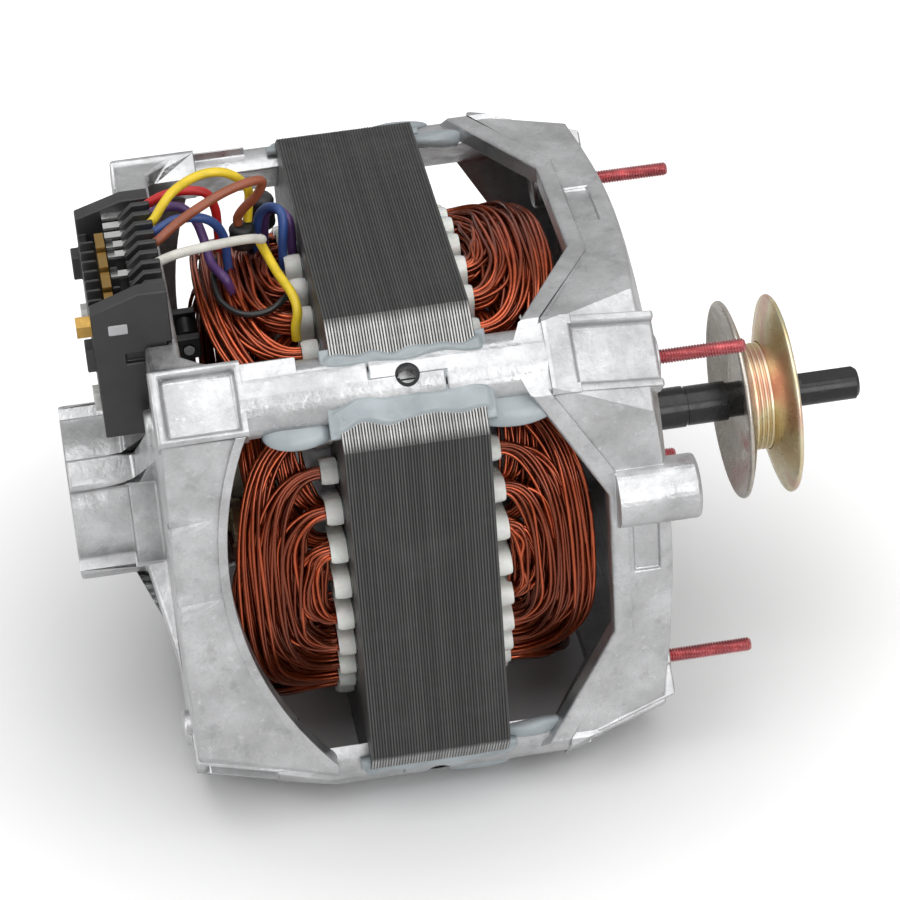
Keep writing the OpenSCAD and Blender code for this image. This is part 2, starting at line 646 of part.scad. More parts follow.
// Rotor, shaft and pulley
rotor_d = bore_d - 2 * air_gap;
blade_in = 2.5;
module rotor_core() color([0.35, 0.35, 0.36])
    ring(core_x - core_half, core_len, rotor_d, shaft_d + 2 * seat_gap);
module end_ring() {
    difference() {
        cylinder(h = ring_len, d = rotor_d - 3);
        translate([0, 0, -past]) cylinder(h = ring_len + 2 * past, d = ring_bore);
    }
    for (i = [0:7]) rotate(i * 45 + 22.5) translate([ring_bore / 2 + blade_in, -1.25, ring_len - past])
        cube([(rotor_d - 3 - ring_bore) / 2 - blade_in - 1, 2.5, blade_len + past]);
}
module rear_end_ring() color([0.7, 0.71, 0.72]) rearward(core_x - core_half - seat_gap) end_ring();
module drive_end_ring() color([0.7, 0.71, 0.72]) axial(core_x + core_half + seat_gap) end_ring();
shaft_rear = rear_reach + bearing_len + 2;
shaft_step = pulley_x - barrel_len / 2;
neck_groove = 0.8;
module shaft() color([0.09, 0.09, 0.1]) difference() {
    union() {
        axial(core_x - shaft_rear) cylinder(h = shaft_rear + core_back + neck_x, d = shaft_d);
        axial(0) cylinder(h = neck_x + neck_groove, d = neck_d - neck_groove);
        axial(neck_x + neck_groove) cylinder(h = shaft_step - seat_gap - neck_x - neck_groove, d = neck_d);
        axial(0) cylinder(h = pulley_x + barrel_len / 2 + slip, d = seat_d);
        axial(0) cylinder(h = shaft_reach - 1, d = shaft_tip_d);
        axial(shaft_reach - 1 - seat_gap / 5) cylinder(h = 1, d1 = shaft_tip_d, d2 = shaft_tip_d - 2);
    }
    box([shaft_reach - flat_len, -shaft_d, shaft_tip_d / 2 - flat_depth],
        [shaft_reach + past, shaft_d, shaft_d]);
}
barrel_r = barrel_d / 2;
module flange_profile() polygon([[barrel_r + seat_gap, groove_floor / 2], [pulley_d / 2, pulley_gap / 2],
    [pulley_d / 2, pulley_gap / 2 + flange_t], [barrel_r + seat_gap, groove_floor / 2 + flange_t]]);
module pulley_inner_flange() color([0.66, 0.63, 0.56]) rearward(pulley_x)
    rotate_extrude($fn = 128) flange_profile();
module pulley_outer_flange() color([0.72, 0.62, 0.4]) axial(pulley_x)
    rotate_extrude($fn = 128) flange_profile();
module pulley_barrel() color([0.74, 0.62, 0.38]) axial(pulley_x - barrel_len / 2) difference() {
    cylinder(h = barrel_len, d = barrel_d);
    translate([0, 0, -past]) cylinder(h = barrel_len + 2 * past, d = seat_d + 2 * seat_gap);
    for (z = [-1.4, 0, 1.4]) translate([0, 0, barrel_len / 2 + z]) rotate_extrude()
        translate([barrel_r + 0.1, 0]) circle(d = 0.9);
}

// Bearings
bearing_bore = shaft_d + 2 * run_gap;
module drive_bearing() color([0.62, 0.45, 0.25])
    ring(core_x + drive_bearing_e, bearing_len - seat_gap, bearing_d, bearing_bore);
module rear_bearing() color([0.62, 0.45, 0.25])
    ring(core_x - rear_bearing_e - bearing_len + seat_gap, bearing_len - seat_gap, bearing_d, bearing_bore);
module drive_wick() color([0.75, 0.7, 0.6]) ring(core_x + drive_bearing_e + 1, wick_len, wick_d,
    bearing_d + 2 * seat_gap);
module rear_wick() color([0.75, 0.7, 0.6]) ring(core_x - rear_bearing_e - 1 - wick_len, wick_len, wick_d,
    bearing_d + 2 * seat_gap);
module drive_retainer() color([0.5, 0.5, 0.52]) ring(core_x + drive_bearing_e - retainer_t - seat_gap,
    retainer_t, retainer_d - 2 * seat_gap, shaft_d + 2);
module rear_retainer() color([0.5, 0.5, 0.52]) ring(core_x - rear_bearing_e + seat_gap,
    retainer_t, retainer_d - 2 * seat_gap, shaft_d + 2);
washer_t = 1.5;
module drive_thrust_washer() color([0.8, 0.78, 0.7])
    ring(core_x + drive_bearing_e - retainer_t - slip - washer_t, washer_t, shaft_d + 8,
        shaft_d + 2 * seat_gap);
module rear_thrust_washer() color([0.8, 0.78, 0.7])
    ring(core_x - rear_bearing_e + retainer_t + slip, washer_t, shaft_d + 8, shaft_d + 2 * seat_gap);

// Governor: the weights swing out on their pins and draw the collar towards the rotor
governor_x = core_x - governor_e;
hinge_x = core_x - hinge_e;
module governor_plate() color([0.62, 0.6, 0.5]) difference() {
    union() {
        rearward(governor_x) cylinder(h = governor_t, r = plate_r);
        for (y = [-1, 1]) for (z = [-1, 1]) translate([hinge_x - 2.5, y * (ear_in + ear_t / 2), z * hinge_r])
            translate([0, -ear_t / 2, -3.4]) cube([hinge_e - governor_e + 2.5, ear_t, 6.8]);
        for (z = [-1, 1]) translate([governor_x - governor_t, -ear_in - ear_t, z * hinge_r - 3.4])
            cube([governor_t, 2 * (ear_in + ear_t), 6.8]);
    }
    axial(governor_x - governor_t - past) cylinder(h = governor_t + 2 * past, d = shaft_d + 2 * seat_gap);
    for (z = [-1, 1]) translate([hinge_x, 0, z * hinge_r]) rotate([90, 0, 0])
        cylinder(h = 40, d = hinge_d + 2 * seat_gap, center = true);
}
module governor_pins() color([0.6, 0.6, 0.62]) for (z = [-1, 1]) translate([hinge_x, 0, z * hinge_r])
    rotate([90, 0, 0]) cylinder(h = 2 * (ear_in + ear_t) + 2, d = hinge_d, center = true);
module governor_weight() difference() {
    union() {
        box([hinge_x - 1.5, slip - ear_in, hinge_r - 3], [hinge_x + 9, ear_in - slip, hinge_r + 5]);
        box([hinge_x - finger_t / 2, -3, finger_tip], [hinge_x + finger_t / 2, 3, hinge_r]);
    }
    translate([hinge_x, 0, hinge_r]) rotate([90, 0, 0])
        cylinder(h = 40, d = hinge_d + 4 * run_gap, center = true);
}
module governor_weight_upper() color([0.55, 0.53, 0.45]) governor_weight();
module governor_weight_lower() color([0.55, 0.53, 0.45]) mirror([0, 0, 1]) governor_weight();
module governor_collar() color([0.85, 0.83, 0.75]) rearward(core_x) difference() {
    union() {
        translate([0, 0, collar_front]) cylinder(h = lever_e - slip - collar_front, d = collar_d);
        translate([0, 0, collar_front]) cylinder(h = 2.4, d = groove_flange_d);
        translate([0, 0, hinge_e + groove_w / 2]) cylinder(h = 2.6, d = groove_flange_d);
        translate([0, 0, lever_flange_e]) cylinder(h = lever_flange_t, d = collar_flange_d);
    }
    translate([0, 0, collar_front - past])
        cylinder(h = lever_e - collar_front + 2 * past, d = shaft_d + 4 * run_gap);
}
spring_turns = 3;
spring_r = shaft_d / 2 + spring_wire / 2 + 1;
spring_from = governor_e + governor_t + spring_wire / 2 + seat_gap;
spring_to = collar_front - spring_wire / 2 - seat_gap;
spring_path = [for (i = [0:8 * spring_turns]) [core_x - spring_from - (spring_to - spring_from) * i
    / (8 * spring_turns), spring_r * cos(45 * i), spring_r * sin(45 * i)]];
echo(str("least gap of the collar spring to itself: ", self_gap(spring_path, spring_wire, 4), " mm"));
module governor_spring() color([0.5, 0.5, 0.52]) wire(spring_path, spring_wire, 6);

// Motor switch
module switch_block(y0, y1, low, high) translate([0, y1, 0]) rotate([90, 0, 0]) linear_extrude(y1 - y0)
    polygon([[switch_back, switch_z + 2], [switch_x, switch_z + 2], [switch_x, shield_half + slip],
        [comb_x, shield_half + slip], [comb_x, high], [switch_x - 6, high], [switch_back, low]]);
module lever_ear(y) difference() {
    box([switch_x - past, y - 1.5, switch_z], [core_x - lever_pin_e + 3.4, y + 1.5, lever_z + 3.4]);
    translate([core_x - lever_pin_e, y, lever_z]) rotate([90, 0, 0])
        cylinder(h = 8, d = lever_pin_d + 2 * seat_gap, center = true);
}
module switch_base() color([0.08, 0.08, 0.085]) {
    difference() {
        union() {
            box([switch_back, switch_y0, switch_z], [switch_x, switch_y1, deck_z]);
            switch_block(switch_y0, switch_y0 + block_len, deck_z + 12, deck_z + 16.6);
            switch_block(switch_y1 - rear_block, switch_y1, deck_z + 9, deck_z + 13);
            box([switch_back, switch_y0, deck_z - past], [switch_back + switch_wall, switch_y1, deck_z + 4]);
            box([core_x - rear_reach - slip - flange_depth, switch_y - flange_half, flange_z],
                [core_x - rear_reach - slip, switch_y + flange_half, switch_z + past]);
            for (p = [[19, deck_z - 6], [-30, deck_z - 6]])
                box([switch_back - 2.4, switch_y + p.x, p.y],
                    [switch_back + past, switch_y + p.x + 6, p.y + 7]);
        }
        box([switch_back + switch_wall, switch_y0 + switch_wall, switch_z + switch_wall],
            [switch_x - switch_wall, switch_y1 - switch_wall, deck_z - switch_wall]);
        box([switch_x - 11, switch_y0 - past, deck_z - 4], [switch_x - 1.5, switch_y0 + 1.6, deck_z - 1]);
        for (y = [-14, 14]) translate([core_x - rear_reach, switch_y + y, flange_z + 3.6])
            rotate([0, 90, 0]) cylinder(h = 30, d = screw_d + 2 * seat_gap, center = true);
        translate([switch_back - past, screw_y, screw_z]) rotate([0, 90, 0])
            cylinder(h = 7, d = screw_d + 2 * seat_gap);
    }
    for (y = [-7, 7]) lever_ear(y);
}
module fin(y) translate([0, y + fin_t / 2, 0]) rotate([90, 0, 0]) linear_extrude(fin_t)
    polygon([[comb_x - comb_depth, comb_z - 2], [comb_x, comb_z - 2], [comb_x, fin_top],
        [comb_x - 5, fin_top], [comb_x - comb_depth, comb_z + 1.5]]);
module switch_comb() color([0.1, 0.1, 0.105]) {
    box([comb_x - comb_depth, first_pin - pin_pitch * (pin_count - 0.5) - fin_t / 2, deck_z + seat_gap],
        [comb_x - 2, first_pin + pin_pitch / 2 + fin_t / 2 - 2.4, comb_z]);
    for (i = [1:pin_count]) fin(first_pin - pin_pitch * (i - 0.5));
}
module spade_terminals() color([0.8, 0.8, 0.8]) for (i = spade_rows)
    box([comb_x - comb_depth - 4.4, pin_y(i) - 1.55, comb_z + seat_gap],
        [comb_x - 3, pin_y(i) + 1.55, comb_z + 0.85]);
module brass_contacts() color([0.62, 0.48, 0.2]) for (i = [0:6])
    translate([switch_back + switch_wall + 2, switch_y0 + block_len + 0.6 + pin_pitch * i, deck_z + seat_gap])
        cube([2.4, 4.2, 12.4 + 0.9 * (i % 2)]);
module terminal_screw() color([0.6, 0.44, 0.18]) translate([switch_back, screw_y, screw_z])
    rotate([0, 90, 0]) {
        translate([0, 0, -4]) cylinder(h = 4 - seat_gap, d = 6.4, $fn = 6);
        translate([0, 0, -past]) cylinder(h = 6, d = screw_d);
    }
module switch_screws() color([0.7, 0.7, 0.72]) for (y = [-14, 14])
    translate([core_x - rear_reach - slip - flange_depth, switch_y + y, flange_z + 3.6]) rotate([0, 90, 0]) {
        translate([0, 0, -2 - seat_gap]) cylinder(h = 2, d = 5.6);
        translate([0, 0, -past]) cylinder(h = flange_depth + slip + plate_t + past, d = screw_d);
    }
module switch_rivets() color([0.86, 0.86, 0.84]) for (y = [switch_y0 + 8, switch_y1 - 12])
    translate([switch_back - 1.8, y, deck_z - 18]) rotate([0, 90, 0]) cylinder(h = 1.8 - seat_gap, d = 7);
module switch_lever() color([0.2, 0.2, 0.2]) difference() {
    union() {
        box([core_x - lever_e - lever_t, -lever_w / 2, lever_tip], [core_x - lever_e, lever_w / 2, lever_z]);
        translate([core_x - lever_pin_e, 0, lever_z]) rotate([90, 0, 0])
            cylinder(h = lever_w, d = lever_pin_d + 3.2, center = true);
    }
    translate([core_x - lever_pin_e, 0, lever_z]) rotate([90, 0, 0])
        cylinder(h = lever_w + 2 * past, d = lever_pin_d + 2 * run_gap, center = true);
}
module lever_pin() color([0.6, 0.6, 0.62]) translate([core_x - lever_pin_e, 0, lever_z])
    rotate([90, 0, 0]) cylinder(h = 18, d = lever_pin_d, center = true);

// Leads
module lead_yellow() color([0.95, 0.83, 0.2]) {
    lead(yellow_route, lead_d);
    lead(yellow_tail, lead_d);
}
module lead_red() color([0.8, 0.1, 0.1]) lead(red_route, lead_d);
module lead_violet() color([0.36, 0.2, 0.5]) {
    lead(violet_route, lead_d);
    lead(violet_loop, lead_d);
}
module lead_blue() color([0.2, 0.32, 0.65]) {
    lead(blue_route, lead_d);
    lead(blue_loop, lead_d);
}
module lead_brown() color([0.6, 0.3, 0.18]) lead(brown_route, lead_d);
module lead_white() color([0.9, 0.89, 0.84]) lead(white_route, lead_d);
module splice_sleeves() color([0.07, 0.07, 0.07]) for (p = sleeve_places)
    translate([core_x + p.x, p.y, p.z]) cylinder(h = p[3] - p.z, d = sleeve_d);

stator_core();
slot_insulators();
winding_front();
winding_top();
winding_back();
winding_bottom();
winding_tie();
rear_end_shield();
drive_end_shield();
epoxy_bonds();
roll_pins();
mounting_studs();
rotor_core();
rear_end_ring();
drive_end_ring();
shaft();
pulley_inner_flange();
pulley_outer_flange();
pulley_barrel();
rear_bearing();
drive_bearing();
rear_wick();
drive_wick();
rear_retainer();
drive_retainer();
rear_thrust_washer();
drive_thrust_washer();
governor_plate();
governor_pins();
governor_weight_upper();
governor_weight_lower();
governor_collar();
governor_spring();
switch_base();
switch_comb();
spade_terminals();
brass_contacts();
terminal_screw();
switch_screws();
switch_rivets();
switch_lever();
lever_pin();
lead_yellow();
lead_red();
lead_violet();
lead_blue();
lead_brown();
lead_white();
splice_sleeves();
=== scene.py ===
"""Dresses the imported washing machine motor: castings, laminations, windings, leads, switch and pulley.

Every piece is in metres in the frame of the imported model: X runs along the shaft towards the pulley
and Z is up. Places along the shaft are counted from the middle of the core.
"""
import json
import math

import bmesh
import bpy
import numpy as np
from bpy.props import FloatProperty, FloatVectorProperty, IntProperty, PointerProperty
from mathutils import Matrix, Vector


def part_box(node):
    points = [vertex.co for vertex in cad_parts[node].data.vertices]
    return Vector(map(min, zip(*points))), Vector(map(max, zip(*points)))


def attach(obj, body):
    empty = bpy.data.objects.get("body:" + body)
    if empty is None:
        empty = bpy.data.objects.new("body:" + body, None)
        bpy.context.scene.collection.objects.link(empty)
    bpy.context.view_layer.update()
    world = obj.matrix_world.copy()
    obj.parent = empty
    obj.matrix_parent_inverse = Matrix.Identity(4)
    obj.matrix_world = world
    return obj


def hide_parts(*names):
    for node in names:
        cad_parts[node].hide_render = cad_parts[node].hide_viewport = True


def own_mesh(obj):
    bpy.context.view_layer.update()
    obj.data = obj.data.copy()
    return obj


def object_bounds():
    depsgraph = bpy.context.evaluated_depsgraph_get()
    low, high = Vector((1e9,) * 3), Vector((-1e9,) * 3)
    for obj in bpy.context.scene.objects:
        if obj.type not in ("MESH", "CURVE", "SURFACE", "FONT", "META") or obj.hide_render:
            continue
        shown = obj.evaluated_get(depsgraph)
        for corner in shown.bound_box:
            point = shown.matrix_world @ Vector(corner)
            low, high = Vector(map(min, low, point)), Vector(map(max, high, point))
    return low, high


bl_info = {
    "name": "Washing machine motor",
    "version": (1, 0, 0),
    "blender": (4, 5, 0),
    "location": "View3D > Sidebar > Motor",
    "description": "Dresses an open square motor with its windings, leads, switch and pulley",
    "category": "Object",
}

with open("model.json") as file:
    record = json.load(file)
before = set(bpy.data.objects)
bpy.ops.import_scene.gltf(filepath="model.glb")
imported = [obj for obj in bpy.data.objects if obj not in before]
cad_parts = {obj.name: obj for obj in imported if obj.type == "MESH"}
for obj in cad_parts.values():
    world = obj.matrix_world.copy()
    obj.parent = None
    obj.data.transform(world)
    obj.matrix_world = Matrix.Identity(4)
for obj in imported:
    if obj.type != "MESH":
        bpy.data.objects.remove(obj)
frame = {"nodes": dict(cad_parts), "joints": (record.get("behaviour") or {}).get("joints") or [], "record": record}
CAD_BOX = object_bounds()

# Places read from the frame, in metres
MM = 0.001


def box_of(node):
    """The low and the high corner of a CAD node."""
    return tuple(np.array(corner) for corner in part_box(node))


CORE_LOW, CORE_HIGH = box_of("stator_core")
CORE_MIDDLE = (CORE_LOW + CORE_HIGH) / 2
CORE_HALF = (CORE_HIGH - CORE_LOW)[0] / 2
CORE_FLAT = CORE_HIGH[2]
CUFF_LOW, CUFF_HIGH = box_of("slot_insulators")
CUFF_END = (CUFF_HIGH - CUFF_LOW)[0] / 2
SLOT_TIP = CUFF_HIGH[2]
STUD_TIP = box_of("mounting_studs")[1][0]
BARREL_LOW, BARREL_HIGH = box_of("pulley_barrel")
FLANGE_LOW, FLANGE_HIGH = box_of("pulley_outer_flange")
SPRING_LOW, SPRING_HIGH = box_of("governor_spring")
SWITCH_LOW = box_of("switch_base")[0]
CONTACTS_LOW, CONTACTS_HIGH = box_of("brass_contacts")
DECK = box_of("switch_comb")[0][2]

# Plain colours of small and inner pieces, in linear red, green and blue
STEEL, SPRING_STEEL, BRIGHT_ZINC = (0.5, 0.5, 0.51), (0.42, 0.42, 0.43), (0.55, 0.55, 0.56)
ROTOR_STEEL, BRONZE, FELT = (0.25, 0.25, 0.255), (0.38, 0.24, 0.1), (0.36, 0.31, 0.22)
PHENOLIC, NYLON = (0.34, 0.2, 0.09), (0.62, 0.59, 0.5)
CLEAR, PALE_GREY = (0.6, 0.6, 0.58), (0.42, 0.42, 0.43)

# Poles: the name of each winding and the direction of its middle, in degrees from +Y towards +Z
POLES = {"winding_back": 0, "winding_top": 90, "winding_front": 180, "winding_bottom": 270}
CORNERS = (45, 135, 225, 315)
SLOT_COUNT = 36
SLOT_ANGLE = 2 * math.pi / SLOT_COUNT

# Routes of the leads, in millimetres from the middle of the core
ROUTES = {
    "yellow": [(-61.4, 2.7, 80.5), (-58.4, 2.7, 82.6), (-55.4, 3.8, 86.2), (-51.5, 5.4, 89.5),
               (-45, 6, 92.5), (-39, 6.6, 92.5), (-34.4, 7.8, 89.5), (-31.4, 9.8, 84),
               (-31.8, 10.8, 78), (-32.4, 10.8, 74)],
    "yellow_tail": [(-30.6, -2.4, 74.6), (-27.7, -13.6, 71.4), (-24.8, -22.6, 69), (-24, -27.2, 66),
                    (-25, -28, 61.4)],
    "red": [(-61.4, 13.3, 80.5), (-58, 13.3, 82.4), (-54.6, 13, 84), (-49.1, 12.4, 85),
            (-43, 12.6, 83.3), (-40.8, 13.8, 77.5), (-40.6, 14.2, 71.5), (-40.6, 14.2, 65.6)],
    "violet": [(-61.4, 8, 80.5), (-58, 8, 82), (-54.7, 8.2, 83), (-50.3, 7.6, 82.6), (-47, 5.4, 79.5),
               (-45.4, 2.4, 75), (-44.4, -3.4, 70.5), (-41.4, -9.8, 68.6)],
    "violet_loop": [(-28, 15.5, 65.6), (-26.6, 14.6, 73.5), (-23.6, 11.4, 75.6), (-21.2, 8, 73.6),
                    (-21.2, 6.4, 67)],
    "blue": [(-61.4, -2.6, 80.5), (-58.2, -2.6, 82), (-56, -2, 83), (-52.4, -0.8, 83.8),
             (-46, -0.8, 83.4), (-42, 0.6, 80), (-39.8, 1.6, 74.5), (-39.6, 2, 67)],
    "blue_loop": [(-30.4, 13.6, 66), (-28.8, 12.2, 74.5), (-25.7, 8.7, 78.4), (-23.2, 5, 77.4),
                  (-24.2, 2.2, 67.4)],
    "brown": [(-61.4, -7.9, 80.5), (-58, -7.8, 82.2), (-52.7, -5.4, 85), (-45.6, -3.6, 88.3),
              (-37.7, -0.8, 90.5), (-30.5, 1.8, 91), (-27.8, 3.6, 89.4), (-29.4, 5.4, 84.6),
              (-33, 7.6, 80), (-35, 9.2, 76.4), (-35.2, 9.4, 74)],
    "white": [(-61.4, -18.5, 80.5), (-58, -18.6, 82.2), (-53.5, -19.2, 83.8), (-47.6, -19.2, 84.6),
              (-40, -15.4, 83), (-33.4, -10.6, 80.4), (-30.3, -7.6, 78), (-30.4, -4.6, 76.6)],
}
TIE_ROUTE = [(-43, 3, 67.6), (-44, -4, 67.6), (-44.4, -11, 66.8), (-43.2, -17, 65.4), (-38.2, -21.6, 63.8),
             (-31, -21.4, 63.8), (-25.6, -18, 65.6)]
# How far the ends that lie on the winding go on between its wires: the lead, its end and the way
SUNK = (("yellow_tail", -1, (0, 0.5, -4)), ("red", -1, (0, 0, -4)), ("violet", -1, (1.6, 0.6, -5)),
        ("violet_loop", 0, (0, 0, -5)), ("violet_loop", -1, (0, 0, -5)), ("blue", -1, (0, 0, -5)),
        ("blue_loop", 0, (0, 0, -5)), ("blue_loop", -1, (0, 0, -5)))


def length_property(name, description, default):
    """A length that a user would change, in metres."""
    return FloatProperty(name=name, description=description, default=default, unit="LENGTH")


def angle_property(name, description, degrees):
    """An angle that a user would change."""
    return FloatProperty(name=name, description=description, default=math.radians(degrees), subtype="ANGLE")


def colour_property(name, description, default):
    """A colour that a user would change, in linear red, green and blue."""
    return FloatVectorProperty(name=name, description=description, default=default, size=3,
                               subtype="COLOR", min=0, max=1)


class MotorSizes(bpy.types.PropertyGroup):
    """Sizes that a user would change."""

    wire_diameter: length_property("Wire", "Diameter of the winding wire", 1.2 * MM)
    wires_across: IntProperty(name="Wires across", description="Turns beside each other in one coil",
                              default=4, min=2)
    wire_layers: IntProperty(name="Layers", description="Turns above each other in one coil",
                             default=5, min=1)
    laminations: IntProperty(name="Laminations", description="Number of sheets in the core", default=49)
    cuff_width: length_property("Cuff", "Width of an insulator's cuff outside the core", 7.4 * MM)
    thread_pitch: length_property("Thread pitch", "Pitch of the studs' threads", 0.794 * MM)
    lead_diameter: length_property("Lead", "Diameter of a lead over its insulation", 2.6 * MM)
    tie_diameter: length_property("Tie", "Diameter of the lacing cord", 1.8 * MM)
    casting_edge: length_property("Casting edge", "Width of the castings' rounded edges", 1.1 * MM)
    plastic_edge: length_property("Plastic edge", "Width of the switch's rounded edges", 0.35 * MM)


class MotorColours(bpy.types.PropertyGroup):
    """Colours of the finishes."""

    aluminium: colour_property("Castings", "Cast aluminium of the shields", (0.58, 0.583, 0.59))
    sheet: colour_property("Laminations", "Varnished edges of the core's sheets", (0.085, 0.085, 0.084))
    turned: colour_property("Turned corners", "Bare steel of the turned corners", (0.4, 0.4, 0.39))
    copper: colour_property("Copper", "Enamelled winding wire", (0.38, 0.068, 0.019))
    cuff: colour_property("Cuffs", "Slot insulators", (0.83, 0.82, 0.78))
    epoxy: colour_property("Epoxy", "Bonds between posts and core", (0.33, 0.37, 0.39))
    stud: colour_property("Studs", "Red dyed plating", (0.55, 0.18, 0.19))
    oxide: colour_property("Shaft", "Black oxide", (0.014, 0.014, 0.015))
    gold_zinc: colour_property("Gold zinc", "Yellow passivated zinc", (0.68, 0.54, 0.3))
    grey_zinc: colour_property("Faded zinc", "Faded zinc of the inner flange", (0.56, 0.52, 0.46))
    plastic: colour_property("Switch", "Black moulded plastic", (0.021, 0.021, 0.0215))
    brass: colour_property("Brass", "Contacts and screw", (0.36, 0.22, 0.06))
    tin: colour_property("Tin", "Spade terminals", (0.74, 0.74, 0.73))
    yellow: colour_property("Yellow lead", "Lead insulation", (0.86, 0.62, 0.03))
    red: colour_property("Red lead", "Lead insulation", (0.6, 0.02, 0.02))
    violet: colour_property("Violet lead", "Lead insulation", (0.095, 0.04, 0.16))
    blue: colour_property("Blue lead", "Lead insulation", (0.03, 0.075, 0.26))
    brown: colour_property("Brown lead", "Lead insulation", (0.3, 0.08, 0.035))
    white: colour_property("White lead", "Lead insulation", (0.7, 0.68, 0.62))
    sleeve: colour_property("Sleeves", "Splice sleeves and lacing", (0.012, 0.012, 0.012))


class MotorStage(bpy.types.PropertyGroup):
    """Camera, light and floor."""

    azimuth: angle_property("Azimuth", "Turn of the camera round the motor", -6.99)
    elevation: angle_property("Elevation", "Height of the camera above the horizon", 33.57)
    roll: angle_property("Roll", "Turn of the picture", -4.2)
    distance: length_property("Distance", "From the camera to the core's middle", 1.02736)
    aside: length_property("Aside", "How far the core lies right of the picture's middle", -17.68 * MM)
    above: length_property("Above", "How far the core lies above the picture's middle", 0.55 * MM)
    lens: FloatProperty(name="Lens", description="Focal length on a 36 mm sensor", default=143.95)
    floor_size: length_property("Floor", "Side of the floor", 30)


class Shape:
    """Collects grids of points with the faces between them, and becomes one mesh."""

    def __init__(self):
        self.points, self.faces, self.values, self.count = [], [], {}, 0

    def grid(self, points, around=False, along=False, capped=False, **values):
        """Adds points[i, j] with a quad between each point and its neighbours in i and j. around joins the
        last j to the first, along the last i to the first, and capped closes the ends of i with one face
        each. values are numbers that each point carries."""
        rows, columns = points.shape[:2]
        i, j = np.meshgrid(np.arange(rows if along else rows - 1),
                           np.arange(columns if around else columns - 1), indexing="ij")
        i_next, j_next = (i + 1) % rows, (j + 1) % columns
        quads = np.stack([i * columns + j, i_next * columns + j, i_next * columns + j_next,
                          i * columns + j_next], axis=-1).reshape(-1, 4)
        self.faces.append(quads + self.count)
        if capped:
            first = np.arange(columns)[::-1]
            self.faces.append(np.stack([first, first[::-1] + (rows - 1) * columns]) + self.count)
        self.points.append(points.reshape(-1, 3))
        for name, value in values.items():
            self.values.setdefault(name, []).append(np.broadcast_to(value, (rows, columns)).ravel())
        self.count += rows * columns
        return self

    def rod(self, points, **values):
        """Adds rings of points as a tube that is closed at both ends."""
        return self.grid(points, around=True, capped=True, **values)

    def mesh(self, name, crease=180):
        """The mesh, with its faces turned outwards and its edges sharp above the crease angle in degrees."""
        mesh = bpy.data.meshes.new(name)
        corners = np.concatenate([faces.ravel() for faces in self.faces])
        sizes = np.concatenate([np.full(len(faces), faces.shape[1]) for faces in self.faces])
        points = np.concatenate(self.points)
        mesh.vertices.add(len(points))
        mesh.vertices.foreach_set("co", points.astype(np.float32).ravel())
        mesh.loops.add(len(corners))
        mesh.loops.foreach_set("vertex_index", corners.astype(np.int32))
        mesh.polygons.add(len(sizes))
        mesh.polygons.foreach_set("loop_start", (np.cumsum(sizes) - sizes).astype(np.int32))
        mesh.update(calc_edges=True)
        for value, parts in self.values.items():
            attribute = mesh.attributes.new(value, "FLOAT", "POINT")
            attribute.data.foreach_set("value", np.concatenate(parts).astype(np.float32))
        turned = bmesh.new()
        turned.from_mesh(mesh)
        bmesh.ops.recalc_face_normals(turned, faces=turned.faces)
        turned.to_mesh(mesh)
        turned.free()
        mesh.shade_smooth()
        if crease < 180:
            mesh.set_sharp_from_angle(angle=math.radians(crease))
        return mesh


def add_piece(mesh, material, body="frame", nodes=()):
    """Puts a mesh into the scene as a piece that rides on a body and stands for CAD nodes."""
    piece = bpy.data.objects.new(mesh.name, mesh)
    bpy.context.scene.collection.objects.link(piece)
    mesh.materials.clear()
    mesh.materials.append(material)
    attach(piece, body)
    if nodes:
        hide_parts(*nodes)
    return piece


def finish_node(node, material):
    """Gives a CAD node that stays in view its material."""
    slots = frame["nodes"][node].data.materials
    slots.clear()
    slots.append(material)


def unit(vectors):
    """Vectors of length one along the given ones."""
    return vectors / np.linalg.norm(vectors, axis=-1, keepdims=True)


def circle(count):
    """Angles once round, without the last that meets the first."""
    return np.linspace(0, 2 * math.pi, count, endpoint=False)


def globe(rings, segments, gap):
    """Angles over a ball: from pole to pole, less a gap at each, and once round."""
    return np.meshgrid(np.linspace(gap, math.pi - gap, rings), circle(segments), indexing="ij")


def tube(path, radius, sides, reference, closed=False):
    """Rings round a path: each lies square to the path and starts towards the reference direction, so a
    point is the path plus radius times the cosine and sine of its angle along two crossed directions."""
    if closed:
        ahead = unit(np.roll(path, -1, axis=0) - np.roll(path, 1, axis=0))
    else:
        ahead = unit(np.gradient(path, axis=0))
    reference = np.broadcast_to(reference, path.shape)
    side = unit(reference - np.sum(reference * ahead, axis=1, keepdims=True) * ahead)
    other = np.cross(ahead, side)
    angle = circle(sides)[None, :, None]
    radius = np.broadcast_to(radius, len(path))[:, None, None]
    return path[:, None] + radius * (np.cos(angle) * side[:, None] + np.sin(angle) * other[:, None])


def smooth_route(route, steps):
    """A Catmull-Rom curve through a route's points: each stretch is a cubic whose slope at a point runs
    along the chord between that point's neighbours."""
    points = np.array(route, float)
    ends = np.vstack([2 * points[0] - points[1], points, 2 * points[-1] - points[-2]])
    before, start, end, after = ends[:-3], ends[1:-2], ends[2:-1], ends[3:]
    t = np.linspace(0, 1, steps, endpoint=False)[None, :, None]
    a, b, c, d = (part[:, None] for part in (before, start, end, after))
    curve = 0.5 * (2 * b + (c - a) * t + (2 * a - 5 * b + 4 * c - d) * t ** 2
                   + (3 * b - a - 3 * c + d) * t ** 3)
    return np.vstack([curve.reshape(-1, 3), points[-1]]) * MM + CORE_MIDDLE


def spread(x, y, z):
    """Points with the given coordinates, which are broadcast together."""
    return np.stack(np.broadcast_arrays(x, y, z), axis=-1)


def about_axis(x, radius, angle):
    """Points at places on the X axis, at a radius and an angle about it."""
    return spread(x, radius * np.cos(angle), radius * np.sin(angle))


